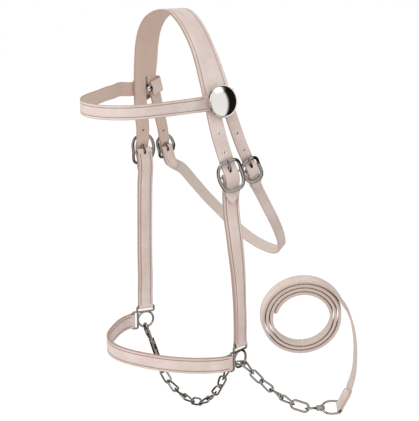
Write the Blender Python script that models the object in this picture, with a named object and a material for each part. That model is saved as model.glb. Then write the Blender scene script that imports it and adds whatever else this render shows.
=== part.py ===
"""Leather show halter with a chain lead, as it hangs from its crown.

+X is the horse's near (left) side, the horse faces -Y and +Z is up. The origin is
under the crown's arch, where a hook or the horse's poll carries the halter.
"""
import math

import bmesh
import bpy
import numpy as np
from mathutils import Matrix, Vector

MM = 0.001
GAP = 0.3 * MM

# Leather: widths and thicknesses of the straps
CROWN_WIDTH = 38.0 * MM
CROWN_THICK = 3.4 * MM
SLIT_WIDTH = 2.5 * MM
FRONT_BILLET_WIDTH = 19.5 * MM
REAR_BILLET_WIDTH = CROWN_WIDTH - SLIT_WIDTH - FRONT_BILLET_WIDTH
BROWBAND_WIDTH = 18.0 * MM
BROWBAND_END_WIDTH = 21.0 * MM
BROWBAND_THICK = 2.6 * MM
CHEEK_WIDTH = 22.0 * MM
CHEEK_THICK = 5.6 * MM
NOSEBAND_WIDTH = 21.5 * MM
NOSEBAND_THICK = 5.2 * MM
THROAT_WIDTH = 16.0 * MM
THROAT_THICK = 2.8 * MM
THROAT_END_THICK = 5.0 * MM
LEAD_WIDTH = 16.0 * MM
LEAD_THICK = 3.0 * MM
LEAD_END_THICK = 5.6 * MM
SKIVED = 1.8 * MM

# Leather: punched holes and strap ends
LAYER_GAP = 0.8 * MM
BAND_GAP = 1.2 * MM
EDGE_PLAY = 2.0 * MM
HOLE_PITCH = 26.0 * MM
HOLE_RADIUS = 2.0 * MM
USED_HOLE_LENGTH_SHARE = 0.21
USED_HOLE_UP_SHARE = 0.345
USED_HOLE_SLANT_SHARE = 0.125
HOLE_MARGIN = 2.0 * MM
TIP_TAPER = 13.0 * MM
TIP_POINT = 5.0 * MM
FOLD_STITCH_LENGTH = 34.0 * MM
FINE_REACH = 60.0 * MM

# Buckles: oval centre-bar frames, front ones on the cheeks and rear ones on the throatlatch
FRONT_BUCKLE = (36.8 * MM, 46.0 * MM)
REAR_BUCKLE = (29.5 * MM, 38.0 * MM)
FRAME_WIDTH = 4.4 * MM
FRAME_THICK = 3.2 * MM
FRAME_ARCH = 6.0 * MM
ARCH_POWER = 1.3
RIM_PLAY = 1.8 * MM
FRAME_POWER = 3.4
FRAME_STEPS = 28
BAR_RADIUS = 1.5 * MM
EYE_INNER = BAR_RADIUS + GAP
EYE_OUTER = EYE_INNER + SKIVED
EYE_REACH = 8.0 * MM
EYE_TILT = math.radians(16.5)
TONGUE_WIDTH = 2.8 * MM
TONGUE_THICK = 2.0 * MM
TONGUE_EYE_WALL = 1.3 * MM
TONGUE_SLOT = TONGUE_WIDTH + 2 * 0.5 * MM
TIP_BELOW_RIM = 21.0 * MM

# Conchos: domed discs screwed through the slit
SLIT_POST = 16.0 * MM
CONCHO_RADIUS = 21.3 * MM
CONCHO_RISE = 6.6 * MM
CONCHO_SKIN = 1.5 * MM
CONCHO_SEGMENTS = 24
POST_RADIUS = 1.8 * MM
POST_PLAY = 1.6 * MM
SCREW_RADIUS = 1.0 * MM
SCREW_HEAD_RADIUS = 4.5 * MM
SCREW_HEAD_THICK = 1.3 * MM
SCREW_BACK = 6.4 * MM
SCREW_LENGTH = 4.6 * MM
CONCHO_LEAN = 0.6

# Ring fittings: a round ring cast with a slot for the cheek and one for the noseband
RING_OUTER = 27.0 * MM
RING_WIRE = 1.6 * MM
RING_RADIUS = RING_OUTER / 2 - RING_WIRE
SLOT_WIRE = 1.5 * MM
SLOT_BASE = 12.4 * MM
SLOT_HEIGHT = 4.9 * MM
SLOT_BAR = SLOT_BASE + 2 * SLOT_WIRE + SLOT_HEIGHT
SLOT_SIDE_GAP = 0.6 * MM

# Chain: twisted oval links, and the plain larger link at the lead's swivel
LINK_LENGTH = 25.0 * MM
LINK_WIDTH = 12.0 * MM
LINK_WIRE = 1.4 * MM
LINK_TWIST = 54.0
LINK_PLAY = 0.9 * MM
LINK_SIDES = 6
BIG_LINK_LENGTH = 29.0 * MM
BIG_LINK_WIDTH = 15.0 * MM
BIG_LINK_WIRE = 1.5 * MM
CHIN_ROLLS = (126.0, 90.0, 54.0, 18.0, -18.0, -54.0, -90.0, -126.0, -162.0, -198.0, -234.0)
RING_LINK_ROLL = -270.0
LEAD_ROLLS = (-323.0, -366.0, -411.0, -456.0, -500.0)
BIG_LINK_ROLL = LEAD_ROLLS[-1] + LINK_TWIST / 2 - 90.0
SWIVEL_ROLL = BIG_LINK_ROLL - 90.0
LINK_BEND = (-90.0, -45.0, 0.0, 45.0, 90.0)
MOST_SAG = 4.0

# Snap: bolt snap on the far ring with a swivel eye for the chain
HOOK_WIRE = 2.0 * MM
HOOK_ROUTE = ((-3.0, -27.0), (-5.8, -21.5), (-9.6, -16.5), (-11.4, -11.0), (-10.9, -6.0),
              (-8.6, -1.9), (-5.0, 0.0), (-1.6, -1.5), (-0.2, -4.6), (0.0, -8.6))
HOOK_SEAT = (-5.4 * MM, -4.7 * MM)
HOOK_TIP = -8.6 * MM
BARREL_RADIUS = 4.2 * MM
BARREL_TOP = -24.0 * MM
BARREL_FOOT = -59.0 * MM
BOLT_RADIUS = 1.9 * MM
BOLT_TRAVEL = 8.0 * MM
BOLT_TAIL = 14.0 * MM
KNOB_RADIUS = 1.5 * MM
KNOB_HEAD_RADIUS = 2.4 * MM
KNOB_REACH = 7.4 * MM
KNOB_DROP = 8.0 * MM

# Swivels: a stem with a riveted head turns in a collar
STEM_RADIUS = 1.5 * MM
STEM_BORE = STEM_RADIUS + GAP
STEM_HEAD_RADIUS = 2.6 * MM
STEM_HEAD_THICK = 1.8 * MM
CUT_DEPTH = 0.2 * MM
COLLAR_RADIUS = 4.0 * MM
SNAP_COLLAR_LENGTH = 5.0 * MM
SNAP_EYE_WIRE = 1.5 * MM
SNAP_EYE_ROUTE = ((-2.6, -2.6), (-5.2, -6.2), (-6.4, -10.5), (-4.9, -15.6), (0.0, -18.2),
                  (4.9, -15.6), (6.4, -10.5), (5.2, -6.2), (2.6, -2.6))

# Lead end: the swivel's eye and stem, and the collar with the loop that holds the strap
SWIVEL_EYE_WIRE = 1.5 * MM
SWIVEL_EYE_RADIUS = 6.3 * MM
LOOP_COLLAR_START = 12.8 * MM
LOOP_COLLAR_END = 22.0 * MM
LOOP_BAR = 44.2 * MM
LOOP_WIRE = 1.5 * MM
LOOP_HALF_WIDTH = LEAD_WIDTH / 2 + 0.6 * MM + LOOP_WIRE
SWIVEL_PLACE = (161.2, 105.1, -538.2)
SWIVEL_AXIS = (0.643, 0.766, 0.05)
LOOP_BAR_DIRECTION = (-0.659, 0.553, 0.5)

# Lead coil: a flat spiral of strap
COIL_CENTRE = (154.7, 97.5, -403.0)
COIL_OUTER_RADIUS = 56.5 * MM
COIL_PITCH = 5.65 * MM
COIL_TURNS = 3.4
COIL_POINTS_PER_TURN = 24
COIL_START = 25.0
COIL_AZIMUTH = 52.0
COIL_TILT = 9.0

# Places of the fittings in the hanging halter, in millimetres
NEAR_FRONT_BAR = (101.1, 13.9, -204.3)
NEAR_FRONT_UP = (-0.031, -0.318, 0.947)
NEAR_REAR_BAR = (96.2, 54.5, -202.8)
NEAR_REAR_UP = (0.02, -0.46, 0.887)
FAR_FRONT_BAR = (-83.0, 11.7, -200.0)
FAR_FRONT_UP = (0.17, -0.16, 0.97)
FAR_REAR_BAR = (-83.0, 52.5, -201.0)
FAR_REAR_UP = (0.192, -0.357, 0.914)
NEAR_BUCKLE_AZIMUTH = 72.0
FAR_BUCKLE_AZIMUTH = 80.0
NEAR_RING = (101.0, 33.5, -464.5)
NEAR_RING_AZIMUTH = 98.0
FAR_RING = (-101.0, 24.0, -461.0)
FAR_RING_AZIMUTH = 72.5
SNAP_FOOT = (-61.0, 26.0, -543.0)

# Routes of the straps, chosen by hand, in millimetres
CROWN_ROUTE = (
    (-62.2, 0.0, -92.0), (-59.4, 0.0, -69.0), (-56.2, 0.0, -46.0), (-49.6, 0.0, -27.0),
    (-37.5, 0.0, -12.0), (-21.0, 0.0, -2.8), (-2.0, 0.0, 1.7), (16.0, 0.0, 0.2),
    (33.0, 0.0, -9.5), (48.0, 0.0, -24.0), (61.5, 0.0, -42.0), (73.0, 0.0, -62.0),
    (81.0, 0.0, -79.0), (86.6, 0.5, -93.5),
)
BROWBAND_ROUTE = (
    (-69.0, -36.0, -107.0), (-56.0, -57.0, -107.0), (-44.5, -78.0, -107.0),
    (-32.0, -98.5, -107.5), (-18.0, -121.0, -107.5), (-2.0, -142.0, -107.5),
    (16.0, -157.0, -107.7), (38.0, -166.0, -108.2), (60.0, -161.0, -109.3),
    (78.0, -143.0, -110.0), (88.5, -118.0, -110.2), (93.0, -90.0, -109.8),
    (96.0, -62.0, -109.3), (96.5, -36.0, -109.0),
)
NOSEBAND_ROUTE = (
    (-106.5, -6.0, -461.0), (-101.5, -20.0, -461.1), (-88.5, -42.0, -462.3),
    (-69.0, -65.5, -463.5), (-47.0, -78.5, -464.3), (-22.0, -82.0, -464.6),
    (4.0, -76.5, -464.8), (29.0, -66.5, -464.8), (55.0, -52.0, -464.8),
    (77.0, -34.0, -464.7), (93.5, -14.0, -464.6), (102.0, 1.0, -464.5),
)
THROAT_LEAN = 36.0
THROAT_ROUTE = (
    (-81.0, 79.0, -234.5), (-76.5, 99.5, -258.5), (-68.5, 117.0, -281.5),
    (-55.5, 134.0, -304.0), (-37.0, 143.5, -322.5), (-14.5, 149.8, -335.8),
    (8.0, 155.5, -344.5), (32.0, 158.5, -347.5), (52.0, 153.5, -341.0),
    (68.0, 139.0, -321.5), (77.0, 118.0, -291.0), (80.0, 98.5, -263.0), (82.5, 83.0, -241.0),
)
NEAR_CHEEK_ROUTE = ((98.6, 18.0, -250.0), (103.2, 21.2, -296.0), (103.2, 27.0, -340.0),
                    (102.0, 31.2, -384.0))
NEAR_CHEEK_AZIMUTHS = (72.0, 75.0, 89.0, 98.0)
RING_END_RUN = (24.0 * MM, 11.0 * MM)
CROWN_END_AZIMUTHS = (84.0, 78.0, 74.0)
FAR_CHEEK_ROUTE = ((-86.0, 15.2, -250.0), (-89.5, 16.6, -300.0), (-93.5, 18.8, -352.0),
                   (-98.0, 22.2, -405.0))
FAR_CHEEK_AZIMUTHS = (80.0, 81.0, 80.0, 76.0)
NEAR_FRONT_ROUTE = ((91.0, -7.6, -116.0), (96.6, -4.8, -142.0))
NEAR_REAR_ROUTE = ((92.6, 17.2, -116.0), (95.2, 25.0, -140.0))
FAR_FRONT_ROUTE = ((-65.5, -6.0, -116.0), (-69.8, -1.8, -142.0))
FAR_REAR_ROUTE = ((-65.2, 19.5, -116.0), (-69.5, 28.5, -142.0))
CHIN_ROUTE = (
    (-44.0, 26.7, -547.7), (-22.0, 27.7, -555.5), (0.0, 28.8, -558.0), (21.0, 29.5, -554.0),
    (40.0, 30.2, -542.0), (55.0, 30.5, -526.0), (67.5, 30.0, -506.5), (79.5, 29.0, -485.5),
)
RING_LINK_PLACE = (98.5, 31.5, -470.6)
RING_LINK_ALONG = (0.837, 0.547, 0.01)
CHIN_END = (91.3, 28.2, -469.9)
LEAD_START = (105.7, 35.2, -469.2)
LEAD_CHAIN_ROUTE = (
    (116.4, 44.1, -485.0), (124.0, 54.0, -498.7), (132.7, 65.0, -511.0),
    (140.9, 76.4, -522.0), (149.0, 88.4, -531.5),
)
LEAD_STRAP_ROUTE = (
    (202.9, 142.4, -504.5), (205.2, 148.3, -484.0), (204.2, 151.8, -459.0),
    (201.7, 152.1, -433.0), (199.0, 149.6, -414.0),
)

# Colours of the finishes: leather outside, leather strap of the lead, bright nickel
LEATHER_COLOUR = (0.62, 0.47, 0.40)
LEAD_COLOUR = (0.60, 0.46, 0.39)
NICKEL_COLOUR = (0.80, 0.80, 0.82)


def mm(values):
    """A point given in millimetres, in metres."""
    return np.array(values, float) * MM


def unit(vector):
    """The vector at length one."""
    vector = np.asarray(vector, float)
    return vector / np.linalg.norm(vector)


def square_to(vector, axis):
    """The part of the vector that is square to the axis, at length one."""
    axis = unit(axis)
    return unit(np.asarray(vector, float) - axis * np.dot(vector, axis))


def azimuth_out(degrees):
    """The level direction that a face looks in: 0 is forward (-Y), 90 is the near side (+X)."""
    angle = math.radians(degrees)
    return np.array((math.sin(angle), -math.cos(angle), 0.0))


def azimuth_across(degrees):
    """The level direction across a strap whose face looks to the azimuth, toward the rear."""
    angle = math.radians(degrees)
    return np.array((math.cos(angle), math.sin(angle), 0.0))


def smooth_curve(knots, values, samples):
    """Cubic curve through values at knots, with slopes from the neighbours."""
    values = np.asarray(values, float)
    steps = np.diff(knots)[:, None]
    chords = np.diff(values, axis=0) / steps
    slopes = np.empty_like(values)
    slopes[0], slopes[-1] = chords[0], chords[-1]
    slopes[1:-1] = (chords[:-1] * steps[1:] + chords[1:] * steps[:-1]) / (steps[1:] + steps[:-1])
    index = np.clip(np.searchsorted(knots, samples, side="right") - 1, 0, len(knots) - 2)
    width = steps[index]
    t = (samples - knots[index])[:, None] / width
    start, end = values[index], values[index + 1]
    return ((2 * t**3 - 3 * t**2 + 1) * start + (t**3 - 2 * t**2 + t) * width * slopes[index]
            + (3 * t**2 - 2 * t**3) * end + (t**3 - t**2) * width * slopes[index + 1])


class Route:
    """A strap's centre line, with the direction across the strap along it."""

    SAMPLES = 1200

    def __init__(self, points, across):
        points = np.asarray(points, float)
        knots = np.concatenate(([0.0], np.cumsum(np.linalg.norm(np.diff(points, axis=0), axis=1))))
        fine = np.linspace(0.0, knots[-1], self.SAMPLES)
        self.line = smooth_curve(knots, points, fine)
        self.side = smooth_curve(knots, across, fine)
        steps = np.linalg.norm(np.diff(self.line, axis=0), axis=1)
        self.arc = np.concatenate(([0.0], np.cumsum(steps)))
        self.slope = np.gradient(self.line, self.arc, axis=0)
        self.length = self.arc[-1]

    def frame(self, s):
        """Point, direction along, direction across and outward direction at length s."""
        inside = min(max(s, 0.0), self.length)
        point = np.array([np.interp(inside, self.arc, self.line[:, k]) for k in range(3)])
        along = unit([np.interp(inside, self.arc, self.slope[:, k]) for k in range(3)])
        across = square_to([np.interp(inside, self.arc, self.side[:, k]) for k in range(3)], along)
        return point + along * (s - inside), along, across, np.cross(along, across)

    def at(self, s, out=0.0, side=0.0):
        """The point at length s, moved out of the face and across the strap."""
        point, _, across, outward = self.frame(s)
        return point + outward * out + across * side

    def nearest(self, point):
        """The length at which the line passes closest to the point."""
        return float(self.arc[np.argmin(np.linalg.norm(self.line - point, axis=1))])


class Seat:
    """The local frame of a fitting: where it sits, which way is up and which way is out."""

    def __init__(self, place, up, out):
        self.place = np.asarray(place, float)
        self.up = unit(up)
        self.out = square_to(out, self.up)
        self.side = np.cross(self.up, self.out)

    def at(self, side=0.0, up=0.0, out=0.0):
        """A point given in the fitting's own directions."""
        return self.place + self.side * side + self.up * up + self.out * out

    def matrix(self):
        """The object matrix whose X, Y and Z are side, up and out."""
        columns = np.column_stack((self.side, self.up, self.out))
        return Matrix.Translation(Vector(self.place)) @ Matrix(columns.tolist()).to_4x4()


def make_material(name, colour, roughness, metallic):
    """A plain Principled finish."""
    material = bpy.data.materials.new(name)
    material.use_nodes = True
    shader = material.node_tree.nodes["Principled BSDF"]
    shader.inputs["Base Color"].default_value = (*colour, 1.0)
    shader.inputs["Roughness"].default_value = roughness
    shader.inputs["Metallic"].default_value = metallic
    return material


def add_object(name, mesh, finish, matrix=None):
    """Link a mesh as a named object with its own material."""
    item = bpy.data.objects.new(name, mesh)
    bpy.context.scene.collection.objects.link(item)
    colour, roughness, metallic = finish
    mesh.materials.clear()
    mesh.materials.append(make_material(name + "_finish", colour, roughness, metallic))
    mesh.shade_smooth()
    mesh.set_sharp_from_angle(angle=math.radians(38.0))
    if matrix is not None:
        item.matrix_world = matrix
    return item


LEATHER = (LEATHER_COLOUR, 0.55, 0.0)
LEAD_LEATHER = (LEAD_COLOUR, 0.55, 0.0)
NICKEL = (NICKEL_COLOUR, 0.12, 1.0)


def mesh_from(vertices, faces):
    """A mesh from points and faces, with its normals turned outward."""
    mesh = bpy.data.meshes.new("shape")
    mesh.from_pydata([tuple(map(float, point)) for point in vertices], [], faces)
    shape = bmesh.new()
    shape.from_mesh(mesh)
    bmesh.ops.recalc_face_normals(shape, faces=shape.faces)
    if shape.calc_volume(signed=True) < 0:
        bmesh.ops.reverse_faces(shape, faces=shape.faces)
    shape.to_mesh(mesh)
    shape.free()
    return mesh


def combined(base, others, operation, split=False):
    """The base mesh joined with, or cut by, the other meshes, its wide faces split if asked."""
    item = bpy.data.objects.new("base", base)
    bpy.context.scene.collection.objects.link(item)
    helpers = []
    for other in others:
        helper = bpy.data.objects.new("helper", other)
        bpy.context.scene.collection.objects.link(helper)
        helpers.append(helper)
        step = item.modifiers.new("step", "BOOLEAN")
        step.operation = operation
        step.solver = "EXACT"
        step.object = helper
    graph = bpy.context.evaluated_depsgraph_get()
    result = bpy.data.meshes.new_from_object(item.evaluated_get(graph))
    for extra in [item] + helpers:
        bpy.data.objects.remove(extra)
    shape = bmesh.new()
    shape.from_mesh(result)
    bmesh.ops.remove_doubles(shape, verts=shape.verts, dist=1e-6)
    bmesh.ops.dissolve_degenerate(shape, edges=shape.edges, dist=1e-6)
    if split:
        wide = [face for face in shape.faces if len(face.verts) > 4]
        bmesh.ops.triangulate(shape, faces=wide, ngon_method="EAR_CLIP")
    shape.to_mesh(result)
    shape.free()
    return result


def swept(path, sections, closed):
    """A tube through sections, each a ring of points, along an open or closed path."""
    count, sides = len(path), len(sections[0])
    vertices = [point for ring in sections for point in ring]
    faces = []
    for i in range(count if closed else count - 1):
        j = (i + 1) % count
        for k in range(sides):
            m = (k + 1) % sides
            faces.append((i * sides + k, i * sides + m, j * sides + m, j * sides + k))
    if not closed:
        faces.append(tuple(range(sides))[::-1])
        faces.append(tuple((count - 1) * sides + k for k in range(sides)))
    return mesh_from(vertices, faces)


def path_directions(path, closed):
    """Directions along a path of points."""
    if closed:
        return [unit(np.roll(path, -1, axis=0)[i] - np.roll(path, 1, axis=0)[i]) for i in range(len(path))]
    return [unit(step) for step in np.gradient(path, axis=0)]


def rod(path, radius, sides=8, closed=False, start=(0.0, 0.0, 1.0)):
    """A round rod along a path, its section carried along without twist."""
    path = np.asarray(path, float)
    radii = np.full(len(path), radius) if np.isscalar(radius) else np.asarray(radius)
    directions = path_directions(path, closed)
    reference = square_to(start, directions[0])
    normals = []
    for direction in directions:
        reference = square_to(reference, direction)
        normals.append(reference)
    drift = 0.0
    if closed:
        end = square_to(normals[-1], directions[0])
        drift = math.atan2(np.dot(np.cross(end, normals[0]), directions[0]), np.dot(end, normals[0]))
    sections = []
    for i, (point, direction, normal) in enumerate(zip(path, directions, normals)):
        turn = drift * i / len(path)
        first = normal * math.cos(turn) + np.cross(direction, normal) * math.sin(turn)
        second = np.cross(direction, first)
        angles = [2 * math.pi * (k + 0.5) / sides for k in range(sides)]
        sections.append([point + radii[i] * (first * math.cos(a) + second * math.sin(a)) for a in angles])
    return swept(path, sections, closed)


def turned(profile, segments):
    """A solid turned about Z from (radius, height) points; it starts and ends on the axis."""
    vertices, rings = [], []
    for radius, height in profile:
        if radius < 1e-9:
            rings.append([len(vertices)])
            vertices.append((0.0, 0.0, height))
            continue
        ring = []
        for k in range(segments):
            angle = 2 * math.pi * k / segments
            ring.append(len(vertices))
            vertices.append((radius * math.cos(angle), radius * math.sin(angle), height))
        rings.append(ring)
    faces = []
    for lower, upper in zip(rings, rings[1:]):
        for k in range(segments):
            m = (k + 1) % segments
            if len(lower) == 1:
                faces.append((lower[0], upper[k], upper[m]))
            elif len(upper) == 1:
                faces.append((lower[k], upper[0], lower[m]))
            else:
                faces.append((lower[k], upper[k], upper[m], lower[m]))
    return mesh_from(vertices, faces)


def moved(mesh, matrix):
    """The mesh, moved by a matrix."""
    mesh.transform(matrix)
    return mesh


class Leather:
    """A cut sheet of leather: cells between two faces that lie a thickness apart."""

    def __init__(self):
        self.outer = {}
        self.inner = {}
        self.cells = []

    def place(self, key, outer, inner):
        """Put a corner of the sheet in place by its points on both faces."""
        self.outer[key] = outer
        self.inner[key] = inner

    def row(self, label, route, s, offsets, thickness, flip=1.0):
        """A row of corners across the route at length s."""
        for column, offset in enumerate(offsets):
            self.place((label, column), route.at(s, flip * thickness / 2, offset),
                       route.at(s, -flip * thickness / 2, offset))

    def cell(self, keys, flip=1.0):
        """A cell round the given corners."""
        self.cells.append(list(keys) if flip > 0 else list(keys)[::-1])

    def build(self):
        """The closed solid: outer faces, inner faces and the cut edges between them."""
        keys = list(self.outer)
        index = {key: i for i, key in enumerate(keys)}
        count = len(keys)
        vertices = [self.outer[key] for key in keys] + [self.inner[key] for key in keys]
        faces, directed = [], set()
        for cell in self.cells:
            loop = [index[key] for key in cell]
            faces.append(loop)
            faces.append([i + count for i in loop[::-1]])
            directed.update(zip(loop, loop[1:] + loop[:1]))
        for a, b in sorted(directed):
            if (b, a) not in directed:
                faces.append([b, a, a + count, b + count])
        return mesh_from(vertices, faces)


class Hole:
    """A punched hole in a billet: its place along the route and its half sizes."""

    def __init__(self, s, half_length, half_width, slant=0.0, corner=0.72):
        self.s = s
        self.half_length = half_length
        self.half_width = half_width
        self.slant = slant
        self.corner = corner

    def rim(self):
        """Eight points round the hole as shares of its half sizes, along and across."""
        c = self.corner
        w = 1.0 if c > 0.8 else c
        return ((-c, -w), (-1, 0), (-c, w), (0, 1), (c, w), (1, 0), (c, -w), (0, -1))


def lay_billet(sheet, label, start, route, width, holes, bends, flip):
    """Add a billet to the crown's sheet: rows, punched holes and a pointed tip."""
    rows = {}
    for hole in holes:
        reach = hole.half_length + abs(hole.slant) + HOLE_MARGIN
        rows[hole.s - reach] = None
        rows[hole.s] = hole
        rows[hole.s + reach] = None
    taper = route.length - TIP_TAPER
    stations = sorted(rows)
    first, last = stations[0], stations[-1]
    reaches = [(hole.s, hole.half_length + abs(hole.slant) + HOLE_MARGIN) for hole in holes]
    zones = [(middle - reach, middle + reach) for middle, reach in reaches]
    clear = 1.4 * MM
    stations += [s for s in bends if not any(low - clear < s < high + clear for low, high in zones)]
    stations += [s for s in np.linspace(0.0, first, 5)[1:-1]]
    stations = sorted(stations + [s for s in even(last, taper, 9)[1:]
                                  if all(abs(s - bend) > clear for bend in bends)])
    offsets = (-width / 2, 0.0, width / 2)
    previous = start
    pending = None
    for number, s in enumerate(stations):
        hole = rows.get(s)
        tag = (label, number)
        sheet.row(tag, route, s, offsets, CROWN_THICK, flip)
        keys = [(tag, column) for column in range(3)]
        if hole is not None:
            del sheet.outer[keys[1]], sheet.inner[keys[1]]
            pending = (hole, previous, keys)
            previous = None
            continue
        if pending is not None:
            ring_cells(sheet, route, pending[0], label, pending[1], pending[2], keys, flip)
            pending = None
        else:
            for column in range(2):
                sheet.cell((previous[column], keys[column], keys[column + 1], previous[column + 1]), flip)
        previous = keys
    near_tip = (label, "shoulder")
    sheet.row(near_tip, route, route.length - TIP_POINT, (-width * 0.3, 0.0, width * 0.3), CROWN_THICK, flip)
    keys = [(near_tip, column) for column in range(3)]
    for column in range(2):
        sheet.cell((previous[column], keys[column], keys[column + 1], previous[column + 1]), flip)
    sheet.row((label, "tip"), route, route.length, (0.0,), CROWN_THICK, flip)
    tip = ((label, "tip"), 0)
    sheet.cell((keys[0], tip, keys[1]), flip)
    sheet.cell((keys[1], tip, keys[2]), flip)


def ring_cells(sheet, route, hole, label, before, middle, after, flip):
    """Cells from the rows round a hole to the eight corners of its rim."""
    border = (before[0], before[1], before[2], middle[2], after[2], after[1], after[0], middle[0])
    rim = []
    for number, (along, across) in enumerate(hole.rim()):
        key = ((label, "hole", round(hole.s * 1e6)), number)
        side = across * hole.half_width
        s = hole.s + along * hole.half_length
        sheet.place(key, route.at(s - hole.slant, flip * CROWN_THICK / 2, side),
                    route.at(s + hole.slant, -flip * CROWN_THICK / 2, side))
        rim.append(key)
    order = (0, 1, 2, 3, 4, 5, 6, 7)
    for number in order:
        following = (number + 1) % 8
        sheet.cell((border[number], rim[number], rim[following], border[following]), flip)


def buckle_seats():
    """The four centre bars: where they lie, which way is up the strap and which way is out."""
    near_out, far_out = azimuth_out(NEAR_BUCKLE_AZIMUTH), -azimuth_out(FAR_BUCKLE_AZIMUTH)
    return {
        "near_front": Seat(mm(NEAR_FRONT_BAR), NEAR_FRONT_UP, near_out),
        "near_rear": Seat(mm(NEAR_REAR_BAR), NEAR_REAR_UP, near_out),
        "far_front": Seat(mm(FAR_FRONT_BAR), FAR_FRONT_UP, far_out),
        "far_rear": Seat(mm(FAR_REAR_BAR), FAR_REAR_UP, far_out),
    }


def rim_height(size):
    """Distance from a buckle's centre bar to the middle of its end rims."""
    return size[1] / 2 - FRAME_WIDTH / 2


def under_rim():
    """How far out a billet's middle lies where it passes under a rim."""
    return FRAME_ARCH - FRAME_THICK / 2 - RIM_PLAY - CROWN_THICK / 2


def over_bar():
    """How far out a billet's middle lies where it passes over the centre bar."""
    return EYE_OUTER + 1.5 * GAP + CROWN_THICK / 2


def tip_points(strap, half, seat, size):
    """Where a billet's end lies on the strap below the buckle: points, and the ways across."""
    at_start = strap.nearest(seat.place) < strap.length / 2
    points, across = [], []
    for share in (0.36, 0.66, 1.0):
        away = rim_height(size) + TIP_BELOW_RIM * share
        s = away if at_start else strap.length - away
        _, _, over, outward = strap.frame(s)
        sign = 1.0 if np.dot(outward, seat.out) > 0 else -1.0
        points.append(strap.at(s, sign * (half + LAYER_GAP + CROWN_THICK / 2)))
        across.append(over)
    return points, across


def billet_route(crown, at_start, offset, middle, seat, size, tip):
    """From the crown's split, along the leg, through the buckle and out to the tip."""
    s = 0.0 if at_start else crown.length
    rim = rim_height(size)
    edge = FRAME_WIDTH / 2 + EDGE_PLAY
    aside = np.dot(tip[0][0] - seat.place, seat.side)
    points = [crown.at(s, 0.0, offset)]
    points += [mm(point) for point in middle]
    points += [
        seat.at(up=rim + 11 * MM, out=under_rim() - 1.0 * MM),
        seat.at(up=rim + edge, out=under_rim()),
        seat.at(up=rim - edge, out=under_rim() + 0.1 * MM),
        seat.at(up=5.5 * MM, out=over_bar() - 0.5 * MM),
        seat.at(out=over_bar()),
        seat.at(up=-5.5 * MM, out=over_bar() - 0.5 * MM),
        seat.at(aside * 0.35, edge - rim, under_rim() + 0.1 * MM),
        seat.at(aside * 0.8, -rim - edge, under_rim()),
    ]
    points += tip[0]
    start_across = crown.frame(s)[2]
    towards_rear = seat.side if np.dot(seat.side, start_across) > 0 else -seat.side
    tip_across = [over if np.dot(over, towards_rear) > 0 else -over for over in tip[1]]
    across = [start_across, start_across * 0.6 + towards_rear * 0.4] + [towards_rear] * (len(points) - 5)
    return Route(points, across + tip_across)


def make_crown(seats, straps):
    """The crown strap: one cut sheet whose ends are split into front and rear billets."""
    rear = np.array((0.0, 1.0, 0.0))
    across = [rear] * (len(CROWN_ROUTE) - len(CROWN_END_AZIMUTHS))
    across += [azimuth_across(degrees) for degrees in CROWN_END_AZIMUTHS]
    across[0] = azimuth_across(94.0)
    crown = Route([mm(point) for point in CROWN_ROUTE], across)
    front_edge = -CROWN_WIDTH / 2
    front_inner = front_edge + FRONT_BILLET_WIDTH
    rear_inner = front_inner + SLIT_WIDTH
    rear_edge = CROWN_WIDTH / 2
    offsets = (front_edge, (front_edge + front_inner) / 2, front_inner,
               rear_inner, (rear_inner + rear_edge) / 2, rear_edge)
    sheet = Leather()
    count = 30
    for number, s in enumerate(np.linspace(0.0, crown.length, count + 1)):
        sheet.row(("arch", number), crown, s, offsets, CROWN_THICK)
        if number:
            before, after = ("arch", number - 1), ("arch", number)
            for column in range(5):
                sheet.cell(((before, column), (after, column), (after, column + 1), (before, column + 1)))
    legs = (
        ("near_front", False, 0, offsets[1], FRONT_BILLET_WIDTH, NEAR_FRONT_ROUTE, FRONT_BUCKLE),
        ("near_rear", False, 3, offsets[4], REAR_BILLET_WIDTH, NEAR_REAR_ROUTE, REAR_BUCKLE),
        ("far_front", True, 0, offsets[1], FRONT_BILLET_WIDTH, FAR_FRONT_ROUTE, FRONT_BUCKLE),
        ("far_rear", True, 3, offsets[4], REAR_BILLET_WIDTH, FAR_REAR_ROUTE, REAR_BUCKLE),
    )
    routes = {}
    for name, at_start, column, offset, width, middle, size in legs:
        seat = seats[name]
        strap, half = straps[name]
        tip = tip_points(strap, half, seat, size)
        route = billet_route(crown, at_start, offset, middle, seat, size, tip)
        bar = route.nearest(seat.at(out=over_bar()))
        rim, edge = rim_height(size), FRAME_WIDTH / 2 + EDGE_PLAY
        used = bar - USED_HOLE_UP_SHARE * rim
        holes = [Hole(used, USED_HOLE_LENGTH_SHARE * rim, HOLE_RADIUS, USED_HOLE_SLANT_SHARE * rim, 0.86)]
        holes += [Hole(used - HOLE_PITCH * k, HOLE_RADIUS, HOLE_RADIUS) for k in (1, 2)]
        bends = [bar - rim - edge, bar - rim + edge, bar + 5.5 * MM, bar + rim - edge, bar + rim + edge]
        row = ("arch", 0 if at_start else count)
        start = [(row, column + k) for k in range(3)]
        lay_billet(sheet, name, start, route, width, holes, bends, -1.0 if at_start else 1.0)
        routes[name] = route
    add_object("crown_strap", sheet.build(), LEATHER)
    return crown, routes


def slit_seats(crown, billets):
    """Where the conchos sit: in the slits, between the billets, square to the legs."""
    seats = {}
    for side in ("near", "far"):
        front, rear = billets[side + "_front"], billets[side + "_rear"]
        flip = 1.0 if side == "near" else -1.0
        front_edge = front.at(SLIT_POST, 0.0, FRONT_BILLET_WIDTH / 2)
        rear_edge = rear.at(SLIT_POST, 0.0, -REAR_BILLET_WIDTH / 2)
        up = -(front.frame(SLIT_POST)[1] + rear.frame(SLIT_POST)[1])
        across = rear.at(SLIT_POST, 0.0, REAR_BILLET_WIDTH / 2)
        across = across - front.at(SLIT_POST, 0.0, -FRONT_BILLET_WIDTH / 2)
        seats[side] = Seat((front_edge + rear_edge) / 2, up, np.cross(across, up) * flip)
    return seats


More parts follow.
